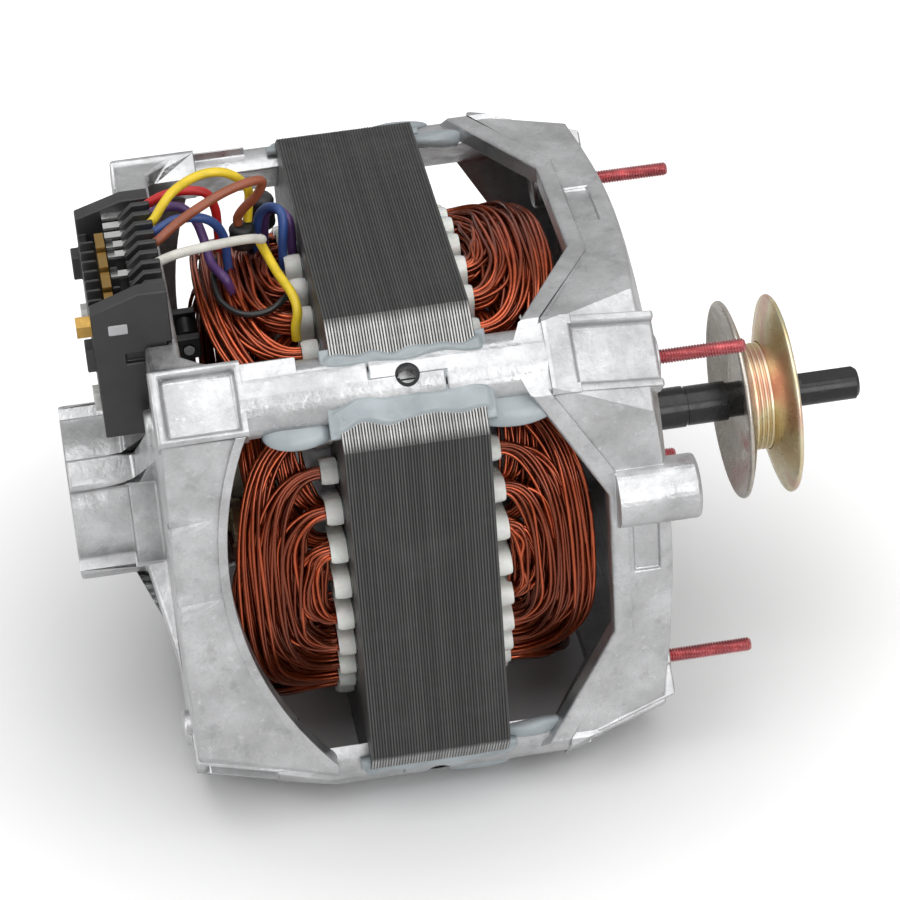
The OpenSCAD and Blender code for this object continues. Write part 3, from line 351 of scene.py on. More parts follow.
def revolve(profile, segments):
    """Turns a closed profile of (along the shaft, radius) points about the shaft's axis."""
    return about_axis(profile[None, :, 0], profile[None, :, 1], circle(segments)[:, None])


def on_axis(along, radius, angle):
    """Points at places along the shaft, counted from the core's middle, at a radius and an angle."""
    return about_axis(CORE_MIDDLE[0] + along, radius, angle)


def off_ray(along, across, out, angle):
    """Points at places along the shaft, counted from the core's middle, out along the ray at an angle and
    across from it."""
    y = out * math.cos(angle) - across * math.sin(angle)
    z = out * math.sin(angle) + across * math.cos(angle)
    return spread(CORE_MIDDLE[0] + along, y, z)


def rounded_box(low, high, roundness=0.16):
    """A box with rounded edges: an ellipsoid whose sines and cosines are raised to a small power."""
    low, high = np.array(low), np.array(high)
    v, u = globe(rings=17, segments=32, gap=0.02)
    ball = np.stack([np.sin(v) ** roundness * flat_power(np.cos(u), roundness),
                     np.sin(v) ** roundness * flat_power(np.sin(u), roundness),
                     flat_power(np.cos(v), roundness)], axis=-1)
    return (low + high) / 2 + ball * (high - low) / 2


def flat_power(value, power):
    """The value's size raised to a power, with its sign kept."""
    return np.sign(value) * np.abs(value) ** power


def ripple(points, scale, seed, waves=14):
    """Smooth noise from -1 to 1: a sum of sine waves in seeded directions, with about scale between
    crests."""
    draw = np.random.default_rng(seed)
    directions = unit(draw.normal(size=(waves, points.shape[-1]))) * 2 * math.pi / scale
    directions *= draw.uniform(0.6, 1.5, (waves, 1))
    phases = draw.uniform(0, 2 * math.pi, waves)
    return np.sin(points @ directions.T + phases).sum(axis=-1) / math.sqrt(waves)


def soft_step(low, high, value):
    """Zero below low, one above high, and a smooth cubic between them."""
    share = np.clip((value - low) / (high - low), 0, 1)
    return share * share * (3 - 2 * share)


# Edges of a copy: what is merged, joined as flat and kept sharp, and how a bevel is held in a corner
MERGED = 0.05 * MM
FLAT_ANGLE, SHARP_ANGLE, WIDE_ANGLE = math.radians(1), math.radians(30), math.radians(150)
CORNER_SHARE = 0.4
RUNS_ON = -0.8


def crisp_copy(node, name, width):
    """A copy of a CAD node with its corners merged, its flat faces joined and its sharp edges weighted for a
    bevel of the given width. The shape is cut from solids, so it has no formula."""
    mesh = frame["nodes"][node].data.copy()
    mesh.name = name
    merged = bmesh.new()
    merged.from_mesh(mesh)
    bmesh.ops.remove_doubles(merged, verts=merged.verts, dist=MERGED)
    bmesh.ops.dissolve_limit(merged, angle_limit=FLAT_ANGLE, verts=merged.verts, edges=merged.edges)
    weights = merged.edges.layers.float.new("bevel_weight_edge")
    for edge, room in bevel_room(merged, width).items():
        edge[weights] = room / width
    merged.to_mesh(mesh)
    merged.free()
    mesh.shade_smooth()
    mesh.set_sharp_from_angle(angle=SHARP_ANGLE)
    return mesh


def bevel_room(merged, width):
    """How wide a bevel each sharp edge can take. Two bevels meet in a face's corner at their width over the
    tangent of half the angle, which stays under a share of the shorter edge. Edges that run on take
    the least of their widths."""
    room = {edge: width for edge in merged.edges
            if len(edge.link_faces) == 2 and edge.calc_face_angle() > SHARP_ANGLE}
    for corner in (loop for face in merged.faces for loop in face.loops):
        first, second, angle = corner.link_loop_prev.edge, corner.edge, corner.calc_angle()
        if not corner.is_convex or angle > WIDE_ANGLE:
            continue
        for edge, other in ((first, second), (second, first)):
            if edge in room and other in room:
                most = CORNER_SHARE * min(edge.calc_length(), other.calc_length()) * math.tan(angle / 2)
                room[edge] = min(room[edge], most)
            elif edge in room:
                room[edge] = min(room[edge], CORNER_SHARE * other.calc_length() * math.sin(angle))
    runs = []
    for vert in merged.verts:
        ways = [(edge, (edge.other_vert(vert).co - vert.co).normalized()) for edge in vert.link_edges
                if edge in room]
        runs += [(a, b) for a, way in ways for b, back in ways if way.dot(back) < RUNS_ON]
    while any(room[a] > room[b] for a, b in runs):
        for a, b in runs:
            room[a] = min(room[a], room[b])
    return room


def round_edges(piece, width):
    """Rounds a piece's weighted edges with a narrow bevel."""
    bevel = piece.modifiers.new("edges", "BEVEL")
    bevel.width, bevel.segments, bevel.limit_method = width, 2, "WEIGHT"
    bevel.use_clamp_overlap = False
    piece.modifiers.new("normals", "WEIGHTED_NORMAL").keep_sharp = True


class Finish:
    """One material's nodes. Patterns read Object coordinates, so their sizes are real ones."""

    def __init__(self, name, metallic=0.0, roughness=0.5, **sockets):
        self.material = bpy.data.materials.new(name)
        self.material.use_nodes = True
        self.tree = self.material.node_tree
        self.shader = self.tree.nodes["Principled BSDF"]
        self.place = self.add("ShaderNodeTexCoord").outputs["Object"]
        self.bump_before = None
        self.set("Metallic", metallic)
        self.set("Roughness", roughness)
        for socket, value in sockets.items():
            self.set(socket.replace("_", " ").title().replace("Ior", "IOR"), value)

    def add(self, kind, inputs=(), **settings):
        """A node with its settings, and its inputs given as (socket, number or another node's output)."""
        node = self.tree.nodes.new(kind)
        for key, value in settings.items():
            setattr(node, key, value)
        for socket, value in inputs:
            if isinstance(value, bpy.types.NodeSocket):
                self.tree.links.new(value, node.inputs[socket])
            else:
                node.inputs[socket].default_value = value
        return node

    def set(self, socket, value):
        """Sets a socket of the shader to a number, a colour or another node's output."""
        if isinstance(value, bpy.types.NodeSocket):
            self.tree.links.new(value, self.shader.inputs[socket])
        else:
            self.shader.inputs[socket].default_value = value

    def noise(self, size, detail=4.0, rough=0.55, stretch=(1, 1, 1)):
        """Noise whose lumps are about size across, longer along the axes with a small stretch."""
        place = self.add("ShaderNodeMapping", [("Vector", self.place), ("Scale", stretch)]).outputs[0]
        return self.add("ShaderNodeTexNoise", [("Vector", place), ("Scale", 1 / size),
                                               ("Detail", detail), ("Roughness", rough)]).outputs[0]

    def value(self, name):
        """A number that the mesh carries at each point."""
        return self.add("ShaderNodeAttribute", attribute_name=name).outputs["Fac"]

    def ramp(self, factor, stops):
        """Colours along a factor: stops are (place, colour)."""
        node = self.add("ShaderNodeValToRGB", [("Fac", factor)])
        elements = node.color_ramp.elements
        for _ in range(len(stops) - 2):
            elements.new(0.5)
        for element, (place, colour) in zip(elements, stops):
            element.position = place
            element.color = (*colour, 1)
        return node.outputs["Color"]

    def level(self, factor, low, high, start=0.3, stop=0.7):
        """A factor between start and stop, mapped to numbers between low and high."""
        return self.add("ShaderNodeMapRange", [("Value", factor), ("From Min", start), ("From Max", stop),
                                               ("To Min", low), ("To Max", high)]).outputs[0]

    def mix(self, factor, first, second):
        """Two colours mixed by a factor."""
        node = self.add("ShaderNodeMix", data_type="RGBA")
        for index, value in ((0, factor), (6, first), (7, second)):
            if isinstance(value, bpy.types.NodeSocket):
                self.tree.links.new(value, node.inputs[index])
            else:
                node.inputs[index].default_value = (*value, 1)
        return node.outputs[2]

    def bump(self, height, depth):
        """Raises the surface by up to depth metres where the height is one. Calls add up."""
        inputs = [("Height", height), ("Distance", depth), ("Strength", 1.0)]
        if self.bump_before:
            inputs.append(("Normal", self.bump_before))
        self.bump_before = self.add("ShaderNodeBump", inputs).outputs[0]
        self.set("Normal", self.bump_before)
        return self


def shade(colour, factor):
    """A colour made lighter or darker."""
    return tuple(min(1.0, part * factor) for part in colour)


def cast_metal(name, colour):
    """Cast aluminium: cloudy grey with dark stains, fine grains, bright rubbed spots and an uneven skin."""
    made = Finish(name, metallic=0.88)
    clouds = made.ramp(made.noise(18 * MM, 7, 0.62),
                       [(0.34, shade(colour, 0.72)), (0.66, shade(colour, 1.14))])
    stains = made.level(made.noise(6 * MM, 7, 0.7), 0, 0.5, 0.55, 0.72)
    stained = made.mix(stains, clouds, shade(colour, 0.45))
    grains = made.level(made.noise(0.9 * MM, 4, 0.7), 0, 0.28, 0.5, 0.68)
    grained = made.mix(grains, stained, shade(colour, 0.62))
    rubbed = made.level(made.noise(2.6 * MM, 7, 0.8), 0, 0.6, 0.58, 0.7)
    made.set("Base Color", made.mix(rubbed, grained, shade(colour, 1.45)))
    made.set("Roughness", made.level(made.noise(5 * MM, 6), 0.26, 0.5))
    made.bump(made.noise(9 * MM, 3), 0.35 * MM)
    return made.bump(made.noise(2.5 * MM, 5), 0.14 * MM).bump(made.noise(0.6 * MM, 3), 0.05 * MM).material


def lamination_edges(name, sheet, turned):
    """Stacked sheet edges: each sheet has its own tone, and the turned corners are bare steel."""
    made = Finish(name, metallic=0.7, roughness=0.42)
    tone = made.ramp(made.value("tone"), [(0, shade(sheet, 0.4)), (1, shade(sheet, 1.35))])
    dusty = made.mix(made.level(made.noise(14 * MM, 5), 0, 0.25, 0.5, 0.75), tone, shade(sheet, 1.8))
    bare = made.ramp(made.value("tone"),
                     [(0, shade(turned, 0.1)), (0.4, shade(turned, 0.7)), (1, shade(turned, 1.35))])
    made.set("Base Color", made.mix(made.value("turned"), dusty, bare))
    made.set("Roughness", made.level(made.noise(4 * MM, 4), 0.36, 0.55))
    return made.bump(made.noise(0.8 * MM, 3), 0.03 * MM).material


def enamelled_copper(name, colour):
    """Copper under amber enamel: each turn has its own tone, and the enamel is thicker in places."""
    made = Finish(name, metallic=0.8, roughness=0.26, coat_weight=0.5, coat_roughness=0.12)
    tone = made.ramp(made.value("tone"), [(0, shade(colour, 0.4)), (0.55, colour), (1, shade(colour, 1.6))])
    amber = made.level(made.noise(6 * MM, 3), 0, 0.5, 0.4, 0.7)
    made.set("Base Color", made.mix(amber, tone, shade(colour, 0.5)))
    return made.bump(made.noise(1.2 * MM, 2), 0.03 * MM).material


def moulded(name, colour, roughness=0.4, grain=0.5 * MM, depth=0.015 * MM, **sockets):
    """Moulded plastic: nearly one colour, with faint clouds, dust and a fine grain."""
    made = Finish(name, **sockets)
    clouds = made.ramp(made.noise(11 * MM, 5), [(0.3, shade(colour, 0.82)), (0.72, shade(colour, 1.2))])
    dust = made.level(made.noise(1.1 * MM, 4, 0.7), 0, 0.12, 0.62, 0.72)
    made.set("Base Color", made.mix(dust, clouds, shade(colour, 2.2)))
    made.set("Roughness", made.level(made.noise(4 * MM, 4), roughness - 0.07, roughness + 0.1))
    return made.bump(made.noise(grain, 3), depth).material


def plated(name, colour, roughness=0.3, metallic=0.95, tint=None):
    """Plated steel: soft clouds, a second tint and fine turning marks along the shaft's axis."""
    made = Finish(name, metallic=metallic)
    second = tint or shade(colour, 1.15)
    clouds = made.ramp(made.noise(5 * MM, 4), [(0.3, shade(colour, 0.85)), (0.55, colour), (0.75, second)])
    made.set("Base Color", clouds)
    made.set("Roughness", made.level(made.noise(3 * MM, 4), roughness - 0.08, roughness + 0.12))
    return made.bump(made.noise(0.35 * MM, 3, stretch=(1, 0.1, 0.1)), 0.012 * MM).material


def gold_zinc(name, colour):
    """Yellow passivated zinc: gold that shifts to rose and green in clouds, over fine rings."""
    made = Finish(name, metallic=0.95, anisotropic=0.6)
    made.set("Tangent", made.add("ShaderNodeTangent", direction_type="RADIAL", axis="X").outputs[0])
    rose, green, pale = (0.72, 0.47, 0.36), (0.62, 0.62, 0.42), (0.8, 0.72, 0.5)
    made.set("Base Color", made.ramp(made.noise(22 * MM, 1, 0.3), [
        (0.3, green), (0.42, colour), (0.52, pale), (0.62, rose), (0.72, colour)]))
    made.set("Roughness", made.level(made.noise(6 * MM, 2), 0.24, 0.34))
    return made.bump(made.noise(0.5 * MM, 2, stretch=(1, 0.2, 0.2)), 0.01 * MM).material


def insulation(name, colour, cloth=0.0):
    """Lead insulation: soft plastic with faint marks, or cloth with dark specks."""
    made = Finish(name, roughness=0.42, coat_weight=0.1)
    clouds = made.ramp(made.noise(5 * MM, 4), [(0.3, shade(colour, 0.85)), (0.7, shade(colour, 1.12))])
    specks = made.level(made.noise(0.5 * MM, 4, 0.7), 0, 0.2 + cloth, 0.58, 0.7)
    made.set("Base Color", made.mix(specks, clouds, shade(colour, 0.55)))
    return made.bump(made.noise(0.7 * MM, 3), (0.02 + 0.08 * cloth) * MM).material


class MotorOperator(bpy.types.Operator):
    """Shared by the operators that make the motor's pieces"""

    bl_options = {"REGISTER", "UNDO"}

    def execute(self, context):
        scene = context.scene
        self.make(scene.motor_sizes, scene.motor_colours)
        return {"FINISHED"}


class MOTOR_OT_stage(bpy.types.Operator):
    """Makes the camera, the lights, the world and the floor"""

    bl_idname = "motor.stage"
    bl_label = "Stage"
    # Each soft box: its place, its side in metres and its power in watts
    soft_boxes = {"overhead": ((-0.1, -0.3, 1.3), 1.5, 11.5), "front": ((0.5, -1.6, 0.7), 1.0, 10),
                  "left": ((-1.4, -0.5, 0.7), 0.8, 4), "right": ((1.2, -0.7, 0.9), 0.9, 3)}
    # The world's strength as light, and what each kind of ray sees instead
    world_light = 0.3
    world_seen = {"Is Glossy Ray": 0.6, "Is Transmission Ray": 1.0, "Is Camera Ray": 1.0}
    # Where the floor's own glow starts and is full, from the core's middle, and how strong it gets
    glow_start, glow_full, glow = 0.11, 0.22, 0.5
    floor_tones = (0.86, 0.88)
    sensor = 36

    def execute(self, context):
        stage = context.scene.motor_stage
        self.camera(context.scene, stage)
        self.lamps()
        self.world(context.scene)
        self.floor(stage)
        return {"FINISHED"}

    def camera(self, scene, stage):
        """The camera looks at the core's middle from its azimuth and elevation, turned by its roll."""
        a, e, r = stage.azimuth, stage.elevation, stage.roll
        back = Vector((math.sin(a) * math.cos(e), -math.cos(a) * math.cos(e), math.sin(e)))
        level = Vector((math.cos(a), math.sin(a), 0))
        upright = back.cross(level)
        right = math.cos(r) * level + math.sin(r) * upright
        up = math.cos(r) * upright - math.sin(r) * level
        data = bpy.data.cameras.new("camera")
        data.lens, data.sensor_width = stage.lens, self.sensor
        data.clip_start, data.clip_end = 0.05, 100
        camera = bpy.data.objects.new("camera", data)
        scene.collection.objects.link(camera)
        place = Vector(CORE_MIDDLE) - stage.aside * right - stage.above * up + stage.distance * back
        turn = Matrix((right, up, back)).transposed().to_4x4()
        camera.matrix_world = Matrix.Translation(place) @ turn
        scene.camera = camera

    def lamps(self):
        """Soft boxes: one overhead, one from the front and a weak one from each side."""
        middle = Vector(CORE_MIDDLE)
        for name, (place, size, power) in self.soft_boxes.items():
            data = bpy.data.lights.new(name, "AREA")
            data.shape, data.size, data.energy = "SQUARE", size, power
            lamp = bpy.data.objects.new(name, data)
            bpy.context.scene.collection.objects.link(lamp)
            lamp.location = place
            lamp.rotation_euler = (middle - Vector(place)).to_track_quat("-Z", "Y").to_euler()

    def world(self, scene):
        """A white world: full for camera and transmission rays, weaker in reflections and as light."""
        world = bpy.data.worlds.new("studio")
        world.use_nodes = True
        tree = world.node_tree
        background = tree.nodes["Background"]
        background.inputs["Color"].default_value = (1, 1, 1, 1)
        path = tree.nodes.new("ShaderNodeLightPath")
        strength = self.world_light
        for ray, level in self.world_seen.items():
            mixed = tree.nodes.new("ShaderNodeMix")
            tree.links.new(path.outputs[ray], mixed.inputs[0])
            mixed.inputs[3].default_value = level
            if isinstance(strength, float):
                mixed.inputs[2].default_value = strength
            else:
                tree.links.new(strength, mixed.inputs[2])
            strength = mixed.outputs[0]
        tree.links.new(strength, background.inputs["Strength"])
        scene.world = world
        scene.view_settings.view_transform = "Standard"

    def floor(self, stage):
        """A pale floor under the motor. Camera rays see it brighter away from the motor, so that it meets
        the world."""
        half, low = stage.floor_size / 2, CAD_BOX[0].z
        edge = np.linspace(-half, half, 2)
        x, y = np.meshgrid(edge, edge, indexing="ij")
        mesh = Shape().grid(np.stack([x, y, np.full_like(x, low)], axis=-1)).mesh("floor")
        made = Finish("floor", roughness=0.9)
        dark, light = ((tone,) * 3 for tone in self.floor_tones)
        made.set("Base Color", made.ramp(made.noise(0.4, 2), [(0.3, dark), (0.7, light)]))
        path = made.add("ShaderNodeLightPath").outputs["Is Camera Ray"]
        offset = made.add("ShaderNodeVectorMath", [(0, made.place), (1, Vector(CORE_MIDDLE))],
                          operation="SUBTRACT").outputs[0]
        distance = made.add("ShaderNodeVectorMath", [(0, offset)], operation="LENGTH").outputs["Value"]
        away = made.level(distance, 0, self.glow, self.glow_start, self.glow_full)
        made.set("Emission Color", (1, 1, 1, 1))
        made.set("Emission Strength", made.level(path, 0, away, 0, 1))
        mesh.materials.append(made.material)
        floor = bpy.data.objects.new("floor", mesh)
        bpy.context.scene.collection.objects.link(floor)


class MOTOR_OT_leads(MotorOperator):
    """Makes the switch leads, the splice sleeves and the lacing cord"""

    bl_idname = "motor.leads"
    bl_label = "Leads"
    # A direction that no lead runs along, towards which each ring of points starts
    reference = np.array([0.31, 0.86, 0.41])
    white_cloth = 0.5
    # Sleeves: the place along and across the shaft, the low and the high end, and the wall, in millimetres
    sleeve_places = ((-34.3, 9.6, 66.6, 73.6), (-27.5, 20.4, 66, 76))
    sleeve_radius, sleeve_pinch, sleeve_lump = 3.6, 0.8, 0.12
    sleeve_rings = 15

    def make(self, sizes, colours):
        for lead in ("yellow", "red", "violet", "blue", "brown", "white"):
            cloth = self.white_cloth if lead == "white" else 0
            material = insulation(f"{lead}_insulation", getattr(colours, lead), cloth)
            stretches = [name for name in ROUTES if name.split("_")[0] == lead]
            for name in stretches:
                self.lead(name, lead, sizes.lead_diameter, material)
        self.sleeves(colours)
        self.tie(sizes, colours)

    def lead(self, name, lead, diameter, material):
        """One lead: a round tube along its route, with the ends that lie on the winding sunk into it."""
        route = np.array(ROUTES[name])
        for sunk, end, way in SUNK:
            if sunk == name:
                route = np.insert(route, len(route) if end else 0, route[end] + way, axis=0)
        path = smooth_route(route, 8)
        shape = Shape().rod(tube(path, diameter / 2, 16, self.reference))
        piece = add_piece(shape.mesh(f"{name}_lead", 50), material, nodes=[f"lead_{lead}"])

    def sleeves(self, colours):
        """Shrunk sleeves: upright tubes with a lumpy wall, drawn in at their ends."""
        material = moulded("shrunk_sleeve", colours.sleeve, 0.45, 1.2 * MM, 0.06 * MM)
        shape = Shape()
        up = np.linspace(0, 1, self.sleeve_rings)
        radius = self.sleeve_radius - self.sleeve_pinch * np.abs(2 * up - 1) ** 6
        radius = radius + self.sleeve_lump * np.sin(17 * up)
        for x, y, low, high in self.sleeve_places:
            path = spread(x, y, low + (high - low) * up)
            shape.rod(tube(path * MM + CORE_MIDDLE, radius * MM, 20, np.array([1.0, 0, 0])))
        add_piece(shape.mesh("splice_sleeve_pair", 60), material, nodes=["splice_sleeves"])

    def tie(self, sizes, colours):
        """Lacing cord over the winding: a smooth round tube along its route."""
        path = smooth_route(TIE_ROUTE, 10)
        shape = Shape().rod(tube(path, sizes.tie_diameter / 2, 12, self.reference))
        material = moulded("waxed_cord", colours.sleeve, 0.3, 0.6 * MM, 0.04 * MM)
        piece = add_piece(shape.mesh("lacing_cord", 60), material, nodes=["winding_tie"])


class MOTOR_OT_castings(MotorOperator):
    """Makes the cast end shields, with rounded edges"""

    bl_idname = "motor.castings"
    bl_label = "End shields"
    front_wall = -71 * MM
    ledge_tops = (32.6 * MM, 7.1 * MM)
    ledge_start, ledge_length, ledge_reach = -66.2 * MM, 11.8 * MM, 4.2 * MM
    ledge_depth, ledge_taper, ledge_sunk, ledge_lean = 8 * MM, 5 * MM, 0.3 * MM, 0.05
    # How much lighter the ledges' aluminium is than the castings': painted light that stands in for their brightly
    # lit tops
    painted_light = 1.3

    def make(self, sizes, colours):
        material = cast_metal("cast_aluminium", colours.aluminium)
        for node in ("rear_end_shield", "drive_end_shield"):
            mesh = crisp_copy(node, node.replace("end_shield", "casting"), sizes.casting_edge)
            piece = add_piece(mesh, material, nodes=[node])
            round_edges(piece, sizes.casting_edge)
        # The ledges take a lighter copy of the cast aluminium, as painted light for their lit tops
        self.ledges(cast_metal("painted_light_aluminium", [self.painted_light * part for part in colours.aluminium]))

    def ledges(self, material):
        """Ledges on the front wall of the rear casting: each is a thin wedge that leans out from the wall,
        widest at its upper edge and at the rear, and runs out below and towards the window."""
        share, corner = np.meshgrid(np.linspace(0, 1, 12), np.arange(3), indexing="ij")
        along = CORE_MIDDLE[0] + self.ledge_start + self.ledge_length * share
        out = np.where(corner == 1, self.ledge_reach * (1 - share), -self.ledge_sunk)
        drop = np.where(corner == 2, self.ledge_depth - self.ledge_taper * share, 0) + self.ledge_lean * out
        shape = Shape()
        for top in self.ledge_tops:
            points = spread(along, self.front_wall - out, top - drop)
            shape.rod(points)
        add_piece(shape.mesh("casting_ledges", 30), material)


class MOTOR_OT_core(MotorOperator):
    """Makes the edges of the core's sheets and finishes the core"""

    bl_idname = "motor.core"
    bl_label = "Core"
    flat_end = math.radians(33.5)
    band_end = math.radians(40.8)
    uneven = 0.04 * MM
    back_depth = 1 * MM
    end_inset = 0.2 * MM
    seed = 7

    def make(self, sizes, colours):
        material = lamination_edges("sheet_edges", colours.sheet, colours.turned)
        draw = np.random.default_rng(self.seed)
        tones = draw.uniform(0, 1, sizes.laminations)
        shape = Shape()
        for quarter in range(4):
            points, turned, tone = self.side(quarter * math.pi / 2, sizes.laminations, tones, draw)
            shape.rod(points, turned=turned, tone=tone)
        add_piece(shape.mesh("lamination_edges", 30), material)
        plain = moulded("varnished_steel", colours.sheet, 0.45, 0.8 * MM, 0.03 * MM, metallic=0.5)
        finish_node("stator_core", plain)

    def side(self, turn, count, tones, draw):
        """One side of the core from post to post: along the outline it is a flat and two turned arcs, and
        along the shaft each sheet is a low ridge between two grooves. The back of the strip lies in the
        core."""
        corner_radius = CORE_FLAT / math.cos(self.flat_end)
        angle = np.concatenate([np.linspace(-self.band_end, -self.flat_end, 5),
                                np.linspace(self.flat_end, self.band_end, 5)])
        out = np.where(np.abs(angle) > self.flat_end - 1e-6, corner_radius, CORE_FLAT / np.cos(angle))
        edge = 2 * CORE_HALF / count
        ridge = np.array([0.02, 0.2, 0.2, 0.02]) * MM
        step = np.array([0.03, 0.18, 0.62, 0.77])
        along = (np.arange(count)[:, None] + step).ravel() * edge - CORE_HALF
        lift = (ridge + self.uneven * draw.uniform(-1, 1, (count, 1)) * (ridge > 0.1 * MM)).ravel()
        along = np.concatenate([along, [CORE_HALF - self.end_inset, self.end_inset - CORE_HALF]])
        lift = np.concatenate([lift, [-self.back_depth] * 2])
        points = on_axis(along[None], out[:, None] + lift[None], angle[:, None] + turn)
        turned = np.broadcast_to((np.abs(angle) > self.flat_end + 0.005)[:, None], points.shape[:2])
        groove = np.tile(np.array([0.0, 1, 1, 0.0]), count) * np.repeat(0.6 + 0.4 * tones, 4)
        return points, turned.astype(float), np.concatenate([groove, [0, 0]])[None]


class MOTOR_OT_windings(MotorOperator):
    """Makes the four pole windings as unbroken wires that run through the slots"""

    bl_idname = "motor.windings"
    bl_label = "Windings"
    main_spans = (1, 2, 3, 4)
    start_spans = (2.5, 3.5, 4.5)
    start_layers = 3
    main_top, main_radius = 28.2 * MM, 64.3 * MM
    start_top, start_radius, start_turn = 29.5 * MM, 57.4 * MM, 45
    layer_pitch, slot_pitch = 1.15 * MM, 0.75 * MM
    # Disorder of a turn: in its top, its radius and its place in the slot
    loose_top, loose_radius, loose_place = 0.5 * MM, 0.3 * MM, 0.2 * MM
    wave_reach, wave_radius = 0.8 * MM, 0.45 * MM
    turn_seed, wave_seed = 40, 100
    layer_shift = np.array([0, 2.3, -1.4, 1.2, 0.2]) * MM
    top_step = 5.1 * MM
    drive_drop = 1.8 * MM
    bulge = 0.9 * MM
    squareness = 2.6
    end_points = 30

    def make(self, sizes, colours):
        material = enamelled_copper("enamelled_copper", colours.copper)
        for index, (node, degrees) in enumerate(POLES.items()):
            shape = Shape()
            for spans, layers, top, radius, turn in (
                    (self.main_spans, sizes.wire_layers, self.main_top, self.main_radius, degrees),
                    (self.start_spans, self.start_layers, self.start_top, self.start_radius,
                     degrees + self.start_turn)):
                path, tone = self.pole(sizes, spans, layers, top, radius, self.turn_seed + index)
                points = tube(path, sizes.wire_diameter / 2, 6, unit(path * (0, 1, 1)))
                matrix = np.array(Matrix.Rotation(math.radians(turn), 3, "X"))
                shape.rod(points @ matrix.T, tone=tone[:, None])
            add_piece(shape.mesh(node.replace("winding", "copper")), material, nodes=[node])

    def turns(self, sizes, spans, layers, first_top, outer_radius, seed):
        """For each turn: its half span in radians, the top of its end turns, its radius and its tone, with
        a little seeded disorder. Wires lie side by side along the shaft, and each layer is set over."""
        draw = np.random.default_rng(seed)
        across = sizes.wires_across
        span, layer, place = np.meshgrid(spans, np.arange(layers), np.arange(across), indexing="ij")
        place = np.where(layer % 2, across - 1 - place, place)
        shift = self.layer_shift[layer.ravel().astype(int) % 5]
        span, layer, place = (part.ravel().astype(float) for part in (span, layer, place))
        pitch = self.top_step / across
        loose = draw.uniform(-1, 1, (4, len(span)))
        top = first_top + (span - spans[0]) * self.top_step + place * pitch + shift
        top = top + self.loose_top * loose[0]
        radius = outer_radius - layer * self.layer_pitch + self.loose_radius * loose[1]
        slot_place = (place - (across - 1) / 2) * self.slot_pitch + self.loose_place * loose[2]
        return span * SLOT_ANGLE + slot_place / radius, top, radius, 0.5 + 0.5 * loose[3]

    def end_turn(self, side, start, finish, tops, radii, waves):
        """An end turn as half of a rounded square: its angle follows the cosine and its reach along the
        shaft the sine of the same parameter, both raised to a power, and it bulges out in its middle."""
        u = np.linspace(0, math.pi, self.end_points)[None]
        share = u / math.pi
        power = 2 / self.squareness
        half = start[:, None] * (1 - share) + finish[:, None] * share
        radius = radii[0][:, None] * (1 - share) + radii[1][:, None] * share
        cosine = flat_power(np.cos(u), power)
        reach = CUFF_END - 1 * MM + (tops[:, None] - CUFF_END + 1 * MM) * np.sin(u) ** power
        wave = np.sin(u * waves[0][:, None] + waves[1][:, None]) * np.sin(u)
        reach = reach + self.wave_reach * wave
        radius = radius + self.bulge * np.sin(u) + self.wave_radius * np.roll(wave, 1, axis=0)
        return on_axis(side * reach, radius, side * half * cosine)

    def pole(self, sizes, spans, layers, first_top, outer_radius, seed):
        """One pole as one path: a rear end turn, a slot, a drive end turn to the next turn's slot, and so
        on."""
        half, top, radius, tone = self.turns(sizes, spans, layers, first_top, outer_radius, seed)
        draw = np.random.default_rng(seed + self.wave_seed)
        waves = draw.uniform(1, 5, len(half)), draw.uniform(0, 6, len(half))
        next_half, next_radius = np.append(half[1:], half[-1]), np.append(radius[1:], radius[-1])
        rear = self.end_turn(-1, half, half, top, (radius, radius), waves)
        drive = self.end_turn(1, half, next_half, top - self.drive_drop, (radius, next_radius), waves[::-1])
        path = np.concatenate([rear, drive], axis=1)
        return path.reshape(-1, 3), np.repeat(tone, path.shape[1])


class MOTOR_OT_cuffs(MotorOperator):
    """Makes the insulator cuffs that stand out of the slots"""

    bl_idname = "motor.cuffs"
    bl_label = "Slot insulators"
    wall = 0.8 * MM
    inner_radius = 53 * MM
    slot_width = 5 * MM
    width_spread = (0.95, 1.03)
    seed = 3

    def make(self, sizes, colours):
        material = moulded("cuff_nylon", colours.cuff, 0.25, 1.5 * MM, 0.02 * MM, subsurface_weight=0.2,
                           subsurface_scale=2 * MM)
        shape = Shape()
        draw = np.random.default_rng(self.seed)
        for index in range(SLOT_COUNT):
            for side in (-1, 1):
                width = sizes.cuff_width * draw.uniform(*self.width_spread)
                shape.rod(self.cuff(index * SLOT_ANGLE, side, width))
        add_piece(shape.mesh("slot_cuffs", 60), material, nodes=["slot_insulators"])

    def cuff(self, angle, side, width):
        """A cuff bent to a U: legs and a half circle at the slot's tip, swept along the shaft. It is as
        wide as the slot in the core, flares outside it and has a rounded lip."""
        slot = self.slot_width
        outer = np.array([(CORE_HALF - 1.5 * MM, slot), (CORE_HALF + 0.1 * MM, slot),
                          (CORE_HALF + 0.5 * MM, width * 0.96), (CORE_HALF + 2 * MM, width),
                          (CUFF_END - 1.2 * MM, width * 0.97), (CUFF_END - 0.4 * MM, width * 0.92),
                          (CUFF_END, width * 0.85)])
        inner = outer[::-1] - (0, 2 * self.wall)
        inner[0] = (CUFF_END - 0.1 * MM, width * 0.85 - self.wall)
        section = np.vstack([outer, inner])
        bend = np.linspace(-math.pi / 2, math.pi / 2, 13)
        half = section[None, :, 1] / 2
        tip = SLOT_TIP - slot / 2
        across = half * np.concatenate([[-1], np.sin(bend), [1]])[:, None]
        out = tip + half * np.concatenate([[0], np.cos(bend), [0]])[:, None]
        out[[0, -1]] = self.inner_radius
        return off_ray(side * section[None, :, 0], across, out, angle)


